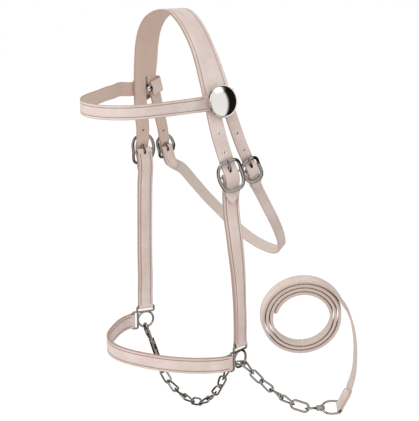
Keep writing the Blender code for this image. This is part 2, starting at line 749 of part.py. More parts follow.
def band_wrap(front, rear, flip):
    """Points from over the front billet, round the rear billet's edge, back to the slit."""
    lift = band_lift()
    half_front, half_rear = FRONT_BILLET_WIDTH / 2, REAR_BILLET_WIDTH / 2
    s = SLIT_POST
    points = [front.at(s, flip * lift, side) for side in (-half_front - 1 * MM, 0.0, half_front)]
    points += [rear.at(s, flip * lift, side) for side in (-half_rear + 2 * MM, 0.0, half_rear - 1 * MM)]
    edge = half_rear + lift
    points += [rear.at(s, flip * lift * 0.72, half_rear + lift * 0.72), rear.at(s, 0.0, edge),
               rear.at(s, -flip * lift * 0.72, half_rear + lift * 0.72)]
    points += [rear.at(s, -flip * lift, side) for side in (half_rear - 1 * MM, 0.0, -half_rear + 1.5 * MM)]
    return points


def band_lift():
    """How far out from a billet's middle the browband's middle lies."""
    return CROWN_THICK / 2 + BAND_GAP + BROWBAND_THICK / 2


def make_browband(slits, billets):
    """The browband: over the legs' faces, each end folded round the rear half of its leg."""
    lift = band_lift()
    far_wrap = band_wrap(billets["far_front"], billets["far_rear"], -1.0)
    near_wrap = band_wrap(billets["near_front"], billets["near_rear"], 1.0)
    points = far_wrap[::-1] + [mm(point) for point in BROWBAND_ROUTE] + near_wrap
    up = np.array((0.0, 0.0, 1.0))
    far_up, near_up = [-billets[side + "_rear"].frame(SLIT_POST)[1] for side in ("far", "near")]
    folded = len(near_wrap) - 3
    across = [far_up] * folded + [slits["far"].up] * 3 + [up] * len(BROWBAND_ROUTE)
    across += [slits["near"].up] * 3 + [near_up] * folded
    route = Route(points, across)
    sheet = Leather()
    post = {side: route.nearest(slits[side].at(out=lift)) for side in slits}
    hole_rows = {}
    for side, s in post.items():
        hole_rows[s] = Hole(s, POST_RADIUS + POST_PLAY, POST_RADIUS + POST_PLAY)
    span = 7.0 * MM
    inner_near, inner_far = post["near"] + span, post["far"] - span
    stations = [s for s in np.linspace(0.0, inner_far, 13)]
    stations += [post["far"]]
    stations += [s for s in np.linspace(post["far"] + span, post["near"] - span, 38)]
    stations += [post["near"]]
    stations += [s for s in np.linspace(inner_near, route.length, 13)]
    previous, pending = None, None
    for number, s in enumerate(stations):
        blend = math.sin(math.pi * min(max((s - inner_far) / (inner_near - inner_far), 0.0), 1.0)) ** 0.5
        width = BROWBAND_END_WIDTH + (BROWBAND_WIDTH - BROWBAND_END_WIDTH) * blend
        tag = ("band", number)
        sheet.row(tag, route, s, (-width / 2, 0.0, width / 2), BROWBAND_THICK)
        keys = [(tag, column) for column in range(3)]
        hole = hole_rows.get(s)
        if hole is not None:
            del sheet.outer[keys[1]], sheet.inner[keys[1]]
            pending = (hole, previous, keys)
            previous = None
            continue
        if pending is not None:
            post_cells(sheet, route, pending, keys)
            pending = None
        elif previous is not None:
            for column in range(2):
                sheet.cell((previous[column], keys[column], keys[column + 1], previous[column + 1]))
        previous = keys
    add_object("browband", sheet.build(), LEATHER)
    return route, post


def post_cells(sheet, route, pending, after):
    """Cells round the hole that a concho's post goes through."""
    hole, before, middle = pending
    border = (before[0], before[1], before[2], middle[2], after[2], after[1], after[0], middle[0])
    rim = []
    for number, (along, across) in enumerate(hole.rim()):
        key = (("band", "post", round(hole.s * 1e6)), number)
        s, side = hole.s + along * hole.half_length, across * hole.half_width
        sheet.place(key, route.at(s, BROWBAND_THICK / 2, side), route.at(s, -BROWBAND_THICK / 2, side))
        rim.append(key)
    for number in range(8):
        following = (number + 1) % 8
        sheet.cell((border[number], rim[number], rim[following], border[following]))


class Eye:
    """The folded end of a strap round a bar: a turned eye and where its layers meet."""

    ARC_STEPS = 8
    HALF_ARC = math.radians(100.0)

    def __init__(self, outer=EYE_OUTER, inner=EYE_INNER, reach=EYE_REACH):
        self.outer = outer
        self.inner = inner
        self.reach = reach

    def arc(self, radius):
        """(length, out) points round the bar, from the inner face over the end to the outer."""
        angles = [self.HALF_ARC * (2 * k / self.ARC_STEPS - 1) for k in range(self.ARC_STEPS + 1)]
        return [(-radius * math.cos(a), radius * math.sin(a)) for a in angles]


def folded_strap(route, width, half_thickness, stations, start_eye, end_eye):
    """A strap with an eye at one or both ends, as one closed solid.

    The side outline runs round the first eye, along the outer face, round the second
    eye and back along the inner face; each eye has its own hole through the strap.
    """
    def to_world(s, out, side):
        return route.at(s, out, side)

    vertices, faces = [], []

    def add(s, out):
        vertices.append(to_world(s, out, -width / 2))
        vertices.append(to_world(s, out, width / 2))
        return len(vertices) - 2

    outer_face = [add(s, half_thickness(s)) for s in stations]
    inner_face = [add(s, -half_thickness(s)) for s in stations]
    outline = list(outer_face)
    for i in range(len(stations) - 1):
        a, b, c, d = outer_face[i], outer_face[i + 1], inner_face[i + 1], inner_face[i]
        faces.append([a, b, c, d])
        faces.append([a + 1, d + 1, c + 1, b + 1])
    ends = []
    for eye, base, sign, index in ((start_eye, 0.0, 1.0, 0), (end_eye, route.length, -1.0, -1)):
        if eye is None:
            ends.append(None)
            continue
        rim = [add(base + sign * s, out) for s, out in eye.arc(eye.outer)]
        hole = [add(base + sign * s, out) for s, out in eye.arc(eye.inner)]
        crotch = add(base + sign * eye.reach, 0.0)
        loop = [inner_face[index]] + rim + [outer_face[index]]
        inside = [crotch] + hole + [crotch]
        for k in range(len(loop) - 1):
            quad = [loop[k], loop[k + 1], inside[k + 1], inside[k]]
            faces.append(quad)
            faces.append([v + 1 for v in quad[::-1]])
        for k in range(len(inside) - 1):
            faces.append([inside[k], inside[k] + 1, inside[k + 1] + 1, inside[k + 1]])
        ends.append((rim, crotch))
    start_rim = ends[0][0] if ends[0] else []
    end_rim = ends[1][0][::-1] if ends[1] else []
    outline = start_rim + outer_face + end_rim + inner_face[::-1]
    for k in range(len(outline)):
        a, b = outline[k], outline[(k + 1) % len(outline)]
        faces.append([a, b, b + 1, a + 1])
    for end, index, step in ((ends[0], 0, 1), (ends[1], -1, -1)):
        if end is None:
            continue
        a, d = outer_face[index], inner_face[index]
        b, c = outer_face[index + step], inner_face[index + step]
        crotch = end[1]
        for side in (0, 1):
            for face in faces:
                if sorted(face) == sorted([a + side, b + side, c + side, d + side]):
                    face.clear()
                    face.extend([a + side, b + side, c + side, d + side, crotch + side])
    return mesh_from(vertices, faces)


def tilted(seat):
    """The direction in which a folded end leaves the bar: down the strap and a little inward."""
    return -seat.up * math.cos(EYE_TILT) - seat.out * math.sin(EYE_TILT)


def tongue_slot(seat, tilt_direction):
    """The cutter for the slot in a fold, in which the tongue's eye turns on the bar."""
    reach_down, reach_up = 5.0 * MM, 6.0 * MM
    half = TONGUE_SLOT / 2
    out = square_to(seat.out, tilt_direction)
    side = np.cross(tilt_direction, out)
    corners = []
    for s in (-reach_up, reach_down):
        for across in (-half, half):
            for height in (-8.0 * MM, 8.0 * MM):
                corners.append(seat.place + tilt_direction * s + side * across + out * height)
    faces = [(0, 1, 3, 2), (4, 6, 7, 5), (0, 4, 5, 1), (2, 3, 7, 6), (0, 2, 6, 4), (1, 5, 7, 3)]
    return mesh_from(corners, faces)


def even(first, last, count):
    """Evenly spaced lengths."""
    return list(np.linspace(first, last, count))


def cheek_route(seat, ring, middle, azimuths, near):
    """The cheek's route from the buckle's bar to the ring's top slot."""
    down = tilted(seat)
    bar = ring.at(up=SLOT_BAR)
    turn = azimuth_across if near else lambda degrees: -azimuth_across(degrees)
    rear = seat.side if seat.side[1] > 0 else -seat.side
    ring_rear = ring.side if ring.side[1] > 0 else -ring.side
    sign = 1.0 if near else -1.0
    aside = np.dot(mm(middle[0]) - seat.place, seat.side) * 0.12
    points = [seat.place, seat.place + down * 9 * MM, seat.place + down * 16 * MM + seat.side * aside]
    points += [mm(point) for point in middle]
    points += [bar + ring.up * RING_END_RUN[0], bar + ring.up * RING_END_RUN[1], bar]
    across = [rear * sign] * 3 + [turn(degrees) for degrees in azimuths] + [ring_rear * sign] * 3
    return Route(points, across)


def make_cheek(name, route, seat):
    """A cheek: two layers stitched, folded round the buckle's bar and the ring's top slot."""
    stations = even(EYE_REACH, FINE_REACH, 9) + even(FINE_REACH, route.length - EYE_REACH, 16)[1:]
    mesh = folded_strap(route, CHEEK_WIDTH, lambda s: CHEEK_THICK / 2, stations, Eye(), Eye())
    mesh = combined(mesh, [tongue_slot(seat, tilted(seat))], "DIFFERENCE")
    add_object(name, mesh, LEATHER)


def throat_route(seats):
    """The throatlatch's route from the far rear buckle's bar to the near one's."""
    far, near = seats["far_rear"], seats["near_rear"]
    far_down, near_down = tilted(far), tilted(near)
    points = [far.place, far.place + far_down * 11 * MM, far.place + far_down * 21 * MM]
    points += [mm(point) for point in THROAT_ROUTE]
    points += [near.place + near_down * 21 * MM, near.place + near_down * 11 * MM, near.place]
    front_far = far.side if far.side[1] < 0 else -far.side
    front_near = near.side if near.side[1] < 0 else -near.side
    lean = math.radians(THROAT_LEAN)
    low = np.array((0.0, -math.cos(lean), -math.sin(lean)))
    across = [front_far] * 3 + [low] * len(THROAT_ROUTE) + [front_near] * 3
    return Route(points, across)


def make_throatlatch(route, seats):
    """The throatlatch: one layer, its ends folded and sewn round the rear buckles' bars."""
    def half(s):
        """Half the thickness: two layers at the sewn ends, one between."""
        inside = min(s, route.length - s)
        share = min(max((inside - FOLD_STITCH_LENGTH) / (6 * MM), 0.0), 1.0)
        return (THROAT_END_THICK + (THROAT_THICK - THROAT_END_THICK) * share) / 2

    sewn = FOLD_STITCH_LENGTH
    stations = even(EYE_REACH, sewn, 5) + even(sewn + 6 * MM, route.length - sewn - 6 * MM, 30)
    stations += even(route.length - sewn, route.length - EYE_REACH, 5)
    mesh = folded_strap(route, THROAT_WIDTH, half, stations, Eye(), Eye())
    cutters = [tongue_slot(seats[name], tilted(seats[name])) for name in ("far_rear", "near_rear")]
    add_object("throatlatch", combined(mesh, cutters, "DIFFERENCE"), LEATHER)


def make_noseband(far_ring, near_ring):
    """The noseband: two layers, folded round the rings' forward slots."""
    far_forward = far_ring.side if far_ring.side[1] < 0 else -far_ring.side
    near_forward = near_ring.side if near_ring.side[1] < 0 else -near_ring.side
    far_bar = far_ring.place + far_forward * SLOT_BAR
    near_bar = near_ring.place + near_forward * SLOT_BAR
    points = [far_bar] + [mm(point) for point in NOSEBAND_ROUTE] + [near_bar]
    up = np.array((0.0, 0.0, 1.0))
    route = Route(points, [up] * len(points))
    stations = even(EYE_REACH, route.length - EYE_REACH, 34)
    mesh = folded_strap(route, NOSEBAND_WIDTH, lambda s: NOSEBAND_THICK / 2, stations, Eye(), Eye())
    add_object("noseband", mesh, LEATHER)


def make_buckle(name, seat, size):
    """An oval frame, arched outward at its ends, with a centre bar."""
    half_width, half_height = size[0] / 2 - FRAME_WIDTH / 2, rim_height(size)
    path = []
    for k in range(FRAME_STEPS):
        angle = 2 * math.pi * k / FRAME_STEPS
        c, s = math.cos(angle), math.sin(angle)
        share = (abs(c) ** FRAME_POWER + abs(s) ** FRAME_POWER) ** (-1 / FRAME_POWER)
        x, y = half_width * c * share, half_height * s * share
        path.append((x, y, FRAME_ARCH * (abs(y) / half_height) ** ARCH_POWER))
    path = np.array(path)
    w, t = FRAME_WIDTH / 2, FRAME_THICK / 2
    outline = ((-w, -t), (w, -t), (w, -0.1 * t), (0.5 * w, t), (-0.5 * w, t), (-w, -0.1 * t))
    sections = []
    for point, direction in zip(path, path_directions(path, True)):
        across = square_to((point[0], point[1], 0.0), direction)
        out = np.cross(direction, across)
        if out[2] < 0:
            out = -out
        sections.append([point + across * a + out * b for a, b in outline])
    frame = swept(path, sections, True)
    reach = half_width + GAP
    bar = rod([(-reach, 0, 0), (reach, 0, 0)], BAR_RADIUS, 10)
    add_object(name, combined(frame, [bar], "UNION"), NICKEL, seat.matrix())


def make_tongue(name, seat, size):
    """A tongue: an eye that turns on the centre bar and a prong that rests on the top rim."""
    rim = rim_height(size)
    rest = FRAME_ARCH + FRAME_THICK / 2 + GAP
    eye_outer = EYE_INNER + TONGUE_EYE_WALL
    t = TONGUE_THICK / 2
    tip = rim + FRAME_WIDTH / 2 + 0.6 * MM
    steps = 12
    ring = []
    for k in range(steps):
        angle = 2 * math.pi * (k + 0.5) / steps
        ring.append((math.cos(angle), math.sin(angle)))
    outer = [(eye_outer * c, eye_outer * s) for c, s in ring]
    hole = [(EYE_INNER * c, EYE_INNER * s) for c, s in ring]
    vertices = [(x, a, b) for a, b in outer for x in (-TONGUE_WIDTH / 2, TONGUE_WIDTH / 2)]
    vertices += [(x, a, b) for a, b in hole for x in (-TONGUE_WIDTH / 2, TONGUE_WIDTH / 2)]
    faces = []
    for k in range(steps):
        m = (k + 1) % steps
        a, b, c, d = 2 * k, 2 * m, 2 * (steps + m), 2 * (steps + k)
        faces += [(a, b, c, d), (a + 1, d + 1, c + 1, b + 1), (a, a + 1, b + 1, b), (d, c, c + 1, d + 1)]
    eye = mesh_from(vertices, faces)
    middle = 0.55 * rim
    spine = (
        (1.6 * MM, 1.9 * MM + t * 0.2), (middle, rest * 0.66 + t),
        (rim - 1 * MM, rest + t), (tip, rest + t * 0.4),
    )
    shares = (1.0, 1.0, 0.95, 0.55)
    sections = []
    for (up, out), share in zip(spine, shares):
        w, h = TONGUE_WIDTH / 2 * share, t * share
        sections.append([(w, up, out - h), (w, up, out + h * 0.5), (w * 0.5, up, out + h),
                         (-w * 0.5, up, out + h), (-w, up, out + h * 0.5), (-w, up, out - h)])
    sections = [[np.array(point) for point in ring_points] for ring_points in sections]
    prong = swept(np.array([(0, up, out) for up, out in spine]), sections, False)
    add_object(name, combined(eye, [prong], "UNION"), NICKEL, seat.matrix())


def concho_seat(slit, band, post):
    """The concho's frame: over the slit, its rim lying on the browband; and its rim's height."""
    ahead, behind = band.at(post - CONCHO_RADIUS), band.at(post + CONCHO_RADIUS)
    front, rear = (ahead, behind) if ahead[1] < behind[1] else (behind, ahead)
    rear = slit.place + (rear - slit.place) * 0.6
    out = np.cross(slit.up, front - rear)
    if np.dot(out, slit.out) < 0:
        out = -out
    seat = Seat(slit.place, slit.up, out * CONCHO_LEAN + slit.out * np.linalg.norm(out) * (1 - CONCHO_LEAN))
    sign = 1.0 if ahead[1] < behind[1] else -1.0
    heights = []
    for s in np.arange(-CONCHO_RADIUS, 14 * MM, 1 * MM):
        for side in (-BROWBAND_END_WIDTH / 2, 0.0, BROWBAND_END_WIDTH / 2):
            if math.hypot(s, side) < CONCHO_RADIUS + 1 * MM:
                face = band.at(post + sign * s, BROWBAND_THICK / 2, side)
                heights.append(np.dot(face - seat.place, seat.out))
    return seat, max(heights) + GAP


def make_concho(side, seat, base):
    """A domed disc with a post through the slit, and the screw that holds it from inside."""
    back = SCREW_BACK
    sphere = (CONCHO_RADIUS ** 2 + CONCHO_RISE ** 2) / (2 * CONCHO_RISE)
    edge = 1.1 * MM
    steps = 5

    def dome(radius):
        """Height of the dome's outer face at a radius."""
        return edge + base + CONCHO_RISE - (sphere - math.sqrt(sphere ** 2 - radius ** 2))

    radii = [CONCHO_RADIUS * (1 - k / steps) for k in range(steps)]
    outer = [(CONCHO_RADIUS, base)] + [(radius, dome(radius)) for radius in radii] + [(0.0, dome(0.0))]
    inner_radius = CONCHO_RADIUS - CONCHO_SKIN
    under = [(radius, dome(radius) - CONCHO_SKIN) for radius in (POST_RADIUS, inner_radius * 0.5)]
    under += [(inner_radius, base)]
    bore = SCREW_RADIUS + GAP
    depth = SCREW_LENGTH + 2 * GAP
    post = [(0.0, depth - back), (bore, depth - back), (bore, -back), (POST_RADIUS, -back)]
    add_object("concho_" + side, turned(post + under + outer, CONCHO_SEGMENTS), NICKEL, seat.matrix())
    head = -back - GAP
    screw = [(0.0, head - SCREW_HEAD_THICK), (SCREW_HEAD_RADIUS * 0.7, head - SCREW_HEAD_THICK),
             (SCREW_HEAD_RADIUS, head - SCREW_HEAD_THICK * 0.4), (SCREW_HEAD_RADIUS, head),
             (SCREW_RADIUS, head), (SCREW_RADIUS, head + SCREW_LENGTH), (0.0, head + SCREW_LENGTH)]
    add_object("concho_screw_" + side, turned(screw, 12), NICKEL, seat.matrix())


def ring_seats():
    """The ring fittings: their centres, upright, with their faces turned as the cheeks turn."""
    up = (0.0, 0.0, 1.0)
    return {
        "near": Seat(mm(NEAR_RING), up, azimuth_out(NEAR_RING_AZIMUTH)),
        "far": Seat(mm(FAR_RING), up, -azimuth_out(FAR_RING_AZIMUTH)),
    }


def slot_loop(direction, cross, half):
    """The closed rectangle of wire that a strap folds round, beside the ring."""
    corners = ((SLOT_BASE, -half), (SLOT_BASE, half), (SLOT_BAR, half), (SLOT_BAR, -half))
    path = []
    round_off = 1.2 * MM
    for i, (reach, across) in enumerate(corners):
        before, after = corners[i - 1], corners[(i + 1) % 4]
        for other in (before, after):
            step = unit((other[0] - reach, other[1] - across)) * round_off
            path.append(direction * (reach + step[0]) + cross * (across + step[1]))
    return rod(path, SLOT_WIRE, 8, True, np.cross(direction, cross))


def make_ring(name, seat):
    """The ring, with the slot above for the cheek and the slot in front for the noseband."""
    steps = 24
    turns = [2 * math.pi * k / steps for k in range(steps)]
    circle = [(RING_RADIUS * math.cos(a), RING_RADIUS * math.sin(a), 0) for a in turns]
    ring = rod(circle, RING_WIRE, 8, True)
    forward = 1.0 if seat.side[1] < 0 else -1.0
    x_axis, y_axis = np.array((forward, 0.0, 0.0)), np.array((0.0, 1.0, 0.0))
    top = slot_loop(y_axis, x_axis, CHEEK_WIDTH / 2 + SLOT_SIDE_GAP + SLOT_WIRE)
    front = slot_loop(x_axis, y_axis, NOSEBAND_WIDTH / 2 + SLOT_SIDE_GAP + SLOT_WIRE)
    add_object(name, combined(ring, [top, front], "UNION"), NICKEL, seat.matrix())


def link_path(length, width, wire, twist):
    """The centre line of an oval link along +X, twisted end to end; X 0 is where it hangs."""
    half = width / 2 - wire
    span = length - 2 * wire
    crown = [math.radians(angle) for angle in LINK_BEND]
    sides = np.linspace(half, span - half, 5)[1:-1]
    flat = [(half - half * math.cos(a), half * math.sin(a)) for a in crown]
    flat += [(x, half) for x in sides]
    flat += [(span - half + half * math.cos(a), half * math.sin(-a)) for a in crown]
    flat += [(x, -half) for x in sides[::-1]]
    seat = wire + LINK_PLAY / 2
    path = []
    for x, y in flat:
        turn = math.radians(twist) * (x / span - 0.5)
        path.append((x - seat, y * math.cos(turn), y * math.sin(turn)))
    return path


def link_mesh(length=LINK_LENGTH, width=LINK_WIDTH, wire=LINK_WIRE, twist=LINK_TWIST):
    """One closed link of wire."""
    return rod(link_path(length, width, wire, twist), wire, LINK_SIDES, True, (0.3, 0.2, 0.9))


def link_pitch(length, wire):
    """How far apart the places are where a link hangs and where the next one hangs in it."""
    return length - 4 * wire - LINK_PLAY


def rolled_frame(place, along, roll):
    """The matrix with X along the chain and Y turned by the roll from straight up."""
    along = unit(along)
    upward = square_to((0.0, 0.0, 1.0), along)
    level = np.cross(along, upward)
    angle = math.radians(roll)
    flat = upward * math.cos(angle) + level * math.sin(angle)
    columns = np.column_stack((along, flat, np.cross(along, flat)))
    return Matrix.Translation(Vector(place)) @ Matrix(columns.tolist()).to_4x4()


def sagged(line, length):
    """The line with its drop below the straight run scaled until it is as long as the chain."""
    line = np.array(line)
    ends = np.linalg.norm(line - line[0], axis=1)
    share = ends / ends[-1]
    straight = line[0] + (line[-1] - line[0]) * share[:, None]
    low, high = 0.0, MOST_SAG
    for _ in range(40):
        middle = (low + high) / 2
        trial = straight + (line - straight) * middle
        if np.linalg.norm(np.diff(trial, axis=0), axis=1).sum() < length:
            low = middle
        else:
            high = middle
    return straight + (line - straight) * high


def hung_points(start, route, end, pitches):
    """Points on the route, moved until each lies its link's pitch from the next."""
    line = sagged([start] + [mm(point) for point in route] + [end], sum(pitches))
    knots = np.concatenate(([0.0], np.cumsum(np.linalg.norm(np.diff(line, axis=0), axis=1))))
    share = np.concatenate(([0.0], np.cumsum(pitches))) / sum(pitches) * knots[-1]
    points = smooth_curve(knots, line, share)
    last = len(pitches)
    for _ in range(400):
        points[0] = start
        for i in range(last):
            points[i + 1] = points[i] + unit(points[i + 1] - points[i]) * pitches[i]
        points[last] = end
        for i in range(last, 0, -1):
            points[i - 1] = points[i] + unit(points[i - 1] - points[i]) * pitches[i - 1]
    return points


def lay_links(names, knots, rolls, mesh):
    """A link from each knot to the next, with its roll."""
    for i, name in enumerate(names):
        matrix = rolled_frame(knots[i], knots[i + 1] - knots[i], rolls[i])
        add_object(name, mesh.copy(), NICKEL, matrix)


def upright(mesh):
    """A solid turned about Z, laid with its axis along Y."""
    return moved(mesh, Matrix.Rotation(math.radians(-90.0), 4, "X"))


def lengthwise(mesh):
    """A solid turned about Z, laid with its axis along X."""
    return moved(mesh, Matrix.Rotation(math.radians(90.0), 4, "Y"))


def plug(radius, bottom, top, segments=12):
    """A plain cylinder about Z, for a boss or for cutting a bore."""
    return turned([(0.0, bottom), (radius, bottom), (radius, top), (0.0, top)], segments)


def stepped_plug(heights, segments=14):
    """The cutter for a swivel's collar: the pocket for the head, then the bore for the stem."""
    foot, step, top = heights
    wide = STEM_HEAD_RADIUS + 2 * GAP
    profile = [(0.0, foot), (wide, foot), (wide, step), (STEM_BORE, step), (STEM_BORE, top), (0.0, top)]
    return turned(profile, segments)


def block(low, high):
    """A plain box between two corners."""
    corners = [(x, y, z) for x in (low[0], high[0]) for y in (low[1], high[1]) for z in (low[2], high[2])]
    faces = [(0, 1, 3, 2), (4, 6, 7, 5), (0, 4, 5, 1), (2, 3, 7, 6), (0, 2, 6, 4), (1, 5, 7, 3)]
    return mesh_from(corners, faces)


def fine_route(points, steps):
    """A smooth planar route through hand-chosen points in millimetres."""
    points = np.array([(x, y, 0.0) for x, y in points]) * MM
    knots = np.concatenate(([0.0], np.cumsum(np.linalg.norm(np.diff(points, axis=0), axis=1))))
    return smooth_curve(knots, points, np.linspace(0.0, knots[-1], steps))


def snap_seat(ring, snap_foot):
    """The snap's frame: it hangs in the ring's foot, and its hook lies across the wire."""
    forward = ring.side if ring.side[1] < 0 else -ring.side
    wire = ring.at(up=-RING_RADIUS)
    seat = Seat(wire, wire - mm(snap_foot), forward)
    seat.place = seat.at(side=-HOOK_SEAT[0], up=-HOOK_SEAT[1])
    return seat


def make_snap(seat, first_along):
    """The bolt snap: hook and barrel, sliding bolt with its knob, and swivel eye."""
    hook = rod(fine_route(HOOK_ROUTE, 16), HOOK_WIRE, 8)
    head_top = BARREL_FOOT - SNAP_COLLAR_LENGTH - 2 * GAP
    head_foot = head_top - STEM_HEAD_THICK
    barrel = upright(turned([
        (0.0, head_foot), (STEM_HEAD_RADIUS * 0.7, head_foot), (STEM_HEAD_RADIUS, head_foot + 0.7 * MM),
        (STEM_HEAD_RADIUS, head_top), (STEM_RADIUS, head_top), (STEM_RADIUS, BARREL_FOOT),
        (BARREL_RADIUS - 1.0 * MM, BARREL_FOOT), (BARREL_RADIUS, BARREL_FOOT + 1.6 * MM),
        (BARREL_RADIUS, BARREL_TOP - 0.9 * MM), (BARREL_RADIUS - 0.8 * MM, BARREL_TOP), (0.0, BARREL_TOP),
    ], 16))
    body = combined(barrel, [hook], "UNION")
    tip = HOOK_TIP - GAP
    knob = BARREL_TOP - KNOB_DROP
    tail = BARREL_TOP - BOLT_TAIL
    bore = upright(plug(BOLT_RADIUS + GAP, tail - BOLT_TRAVEL - 2 * GAP, BARREL_TOP + 4 * MM, 16))
    slot_half = KNOB_RADIUS + GAP
    slot = block((0.0, knob - BOLT_TRAVEL - slot_half, -slot_half),
                 (BARREL_RADIUS + 1 * MM, knob + slot_half, slot_half))
    body = combined(body, [combined(bore, [slot], "UNION")], "DIFFERENCE", True)
    add_object("snap_body", body, NICKEL, seat.matrix())
    bolt = upright(turned([(0.0, tail), (BOLT_RADIUS, tail), (BOLT_RADIUS, tip - 0.8 * MM),
                           (BOLT_RADIUS - 0.6 * MM, tip), (0.0, tip)], 12))
    reach = [0.0, BARREL_RADIUS + GAP, BARREL_RADIUS + 2 * GAP, KNOB_REACH - 0.5 * MM, KNOB_REACH]
    radii = [KNOB_RADIUS, KNOB_RADIUS, KNOB_HEAD_RADIUS, KNOB_HEAD_RADIUS, KNOB_RADIUS]
    stud = rod([(x, knob, 0.0) for x in reach], radii, 8)
    add_object("snap_bolt", combined(bolt, [stud], "UNION"), NICKEL, seat.matrix())
    top = BARREL_FOOT - GAP
    foot = top - SNAP_COLLAR_LENGTH
    profile = [
        (0.0, foot), (COLLAR_RADIUS - 0.5 * MM, foot), (COLLAR_RADIUS, foot + 0.6 * MM),
        (COLLAR_RADIUS, top - 0.6 * MM), (COLLAR_RADIUS - 0.5 * MM, top), (0.0, top),
    ]
    collar = upright(turned(profile, 14))
    loop = fine_route(SNAP_EYE_ROUTE, 17) + np.array((0.0, BARREL_FOOT, 0.0))
    eye = combined(collar, [rod(loop, SNAP_EYE_WIRE, 8)], "UNION")
    pocket = foot - STEM_HEAD_THICK - 3 * GAP
    cuts = [upright(stepped_plug((pocket, foot + CUT_DEPTH, top + 1 * MM)))]
    crown = rolled_frame((0, 0, 0), first_along, CHIN_ROLLS[0] - LINK_TWIST / 2).to_3x3() @ Vector((0, 1, 0))
    wire = square_to(np.cross(np.array(crown), seat.up), seat.up)
    eye_seat = Seat(seat.place, seat.up, np.cross(wire, seat.up))
    add_object("snap_eye", combined(eye, cuts, "DIFFERENCE"), NICKEL, eye_seat.matrix())


def snap_hang_point(seat):
    """Where the chain's first link hangs in the snap's eye."""
    wire = SNAP_EYE_ROUTE[4][1] * MM + BARREL_FOOT
    return seat.at(up=wire + SNAP_EYE_WIRE + LINK_PLAY)


def make_lead_swivel():
    """The lead's swivel: an eye with a riveted stem, turning in the collar of the strap's loop."""
    matrix = rolled_frame(mm(SWIVEL_PLACE), SWIVEL_AXIS, SWIVEL_ROLL)
    centre = SWIVEL_EYE_RADIUS - SWIVEL_EYE_WIRE - LINK_PLAY / 2
    steps = 18
    circle = [(centre + SWIVEL_EYE_RADIUS * math.cos(2 * math.pi * k / steps),
               SWIVEL_EYE_RADIUS * math.sin(2 * math.pi * k / steps), 0.0) for k in range(steps)]
    start = centre + SWIVEL_EYE_RADIUS
    head = LOOP_COLLAR_END + GAP
    profile = [
        (0.0, start), (STEM_RADIUS, start), (STEM_RADIUS, head), (STEM_HEAD_RADIUS, head),
        (STEM_HEAD_RADIUS, head + STEM_HEAD_THICK - 0.6 * MM),
        (STEM_HEAD_RADIUS * 0.7, head + STEM_HEAD_THICK), (0.0, head + STEM_HEAD_THICK),
    ]
    stem = lengthwise(turned(profile, 12))
    eye = combined(rod(circle, SWIVEL_EYE_WIRE, 8, True), [stem], "UNION")
    add_object("lead_swivel_eye", eye, NICKEL, matrix)

    along = unit(SWIVEL_AXIS)
    bar = square_to(LOOP_BAR_DIRECTION, along)
    columns = np.column_stack((along, bar, np.cross(along, bar)))
    loop_matrix = Matrix.Translation(Vector(mm(SWIVEL_PLACE))) @ Matrix(columns.tolist()).to_4x4()
    half = LOOP_HALF_WIDTH
    corner = 1.3 * MM
    side = [(LOOP_COLLAR_END - 5 * MM, 2.4 * MM), (LOOP_COLLAR_END - 1 * MM, 4.6 * MM),
            (LOOP_COLLAR_END + 3.5 * MM, half - 1.4 * MM), (LOOP_COLLAR_END + 7 * MM, half),
            (LOOP_BAR - corner, half), (LOOP_BAR, half - corner)]
    path = [(x, -y, 0.0) for x, y in side] + [(x, y, 0.0) for x, y in side[::-1]]
    collar = lengthwise(turned([
        (0.0, LOOP_COLLAR_START), (COLLAR_RADIUS - 0.6 * MM, LOOP_COLLAR_START),
        (COLLAR_RADIUS, LOOP_COLLAR_START + 0.7 * MM), (COLLAR_RADIUS, LOOP_COLLAR_END - 0.7 * MM),
        (COLLAR_RADIUS - 0.6 * MM, LOOP_COLLAR_END), (0.0, LOOP_COLLAR_END)], 14))
    loop = combined(collar, [rod(path, LOOP_WIRE, 8)], "UNION")
    pocket = head + STEM_HEAD_THICK + GAP
    cuts = [lengthwise(stepped_plug((pocket, LOOP_COLLAR_END - CUT_DEPTH, LOOP_COLLAR_START - 1 * MM)))]
    add_object("lead_swivel_loop", combined(loop, cuts, "DIFFERENCE"), NICKEL, loop_matrix)
    return mm(SWIVEL_PLACE) + along * LOOP_BAR, bar


def coil_spiral():
    """Points and across directions of the coil's spiral, from the outside in."""
    axis = azimuth_out(COIL_AZIMUTH) * math.cos(math.radians(COIL_TILT))
    axis[2] = -math.sin(math.radians(COIL_TILT))
    upward = square_to((0.0, 0.0, 1.0), axis)
    right = np.cross(upward, axis)
    steps = round(COIL_TURNS * COIL_POINTS_PER_TURN)
    angles = math.radians(COIL_START) + np.arange(steps + 1) * 2 * math.pi / COIL_POINTS_PER_TURN
    radii = COIL_OUTER_RADIUS - COIL_PITCH * np.arange(steps + 1) / COIL_POINTS_PER_TURN
    flat = np.column_stack((radii * np.cos(angles), radii * np.sin(angles)))
    points = mm(COIL_CENTRE) + flat[:, :1] * right + flat[:, 1:] * upward
    return points, axis, flat


def closest_turns(flat):
    """The least clear distance between the coil's turns, measured on its points."""
    least = 1.0
    apart = COIL_POINTS_PER_TURN // 2
    for i, point in enumerate(flat):
        others = flat[i + apart:]
        if len(others):
            least = min(least, float(np.linalg.norm(others - point, axis=1).min()))
    return least - LEAD_THICK


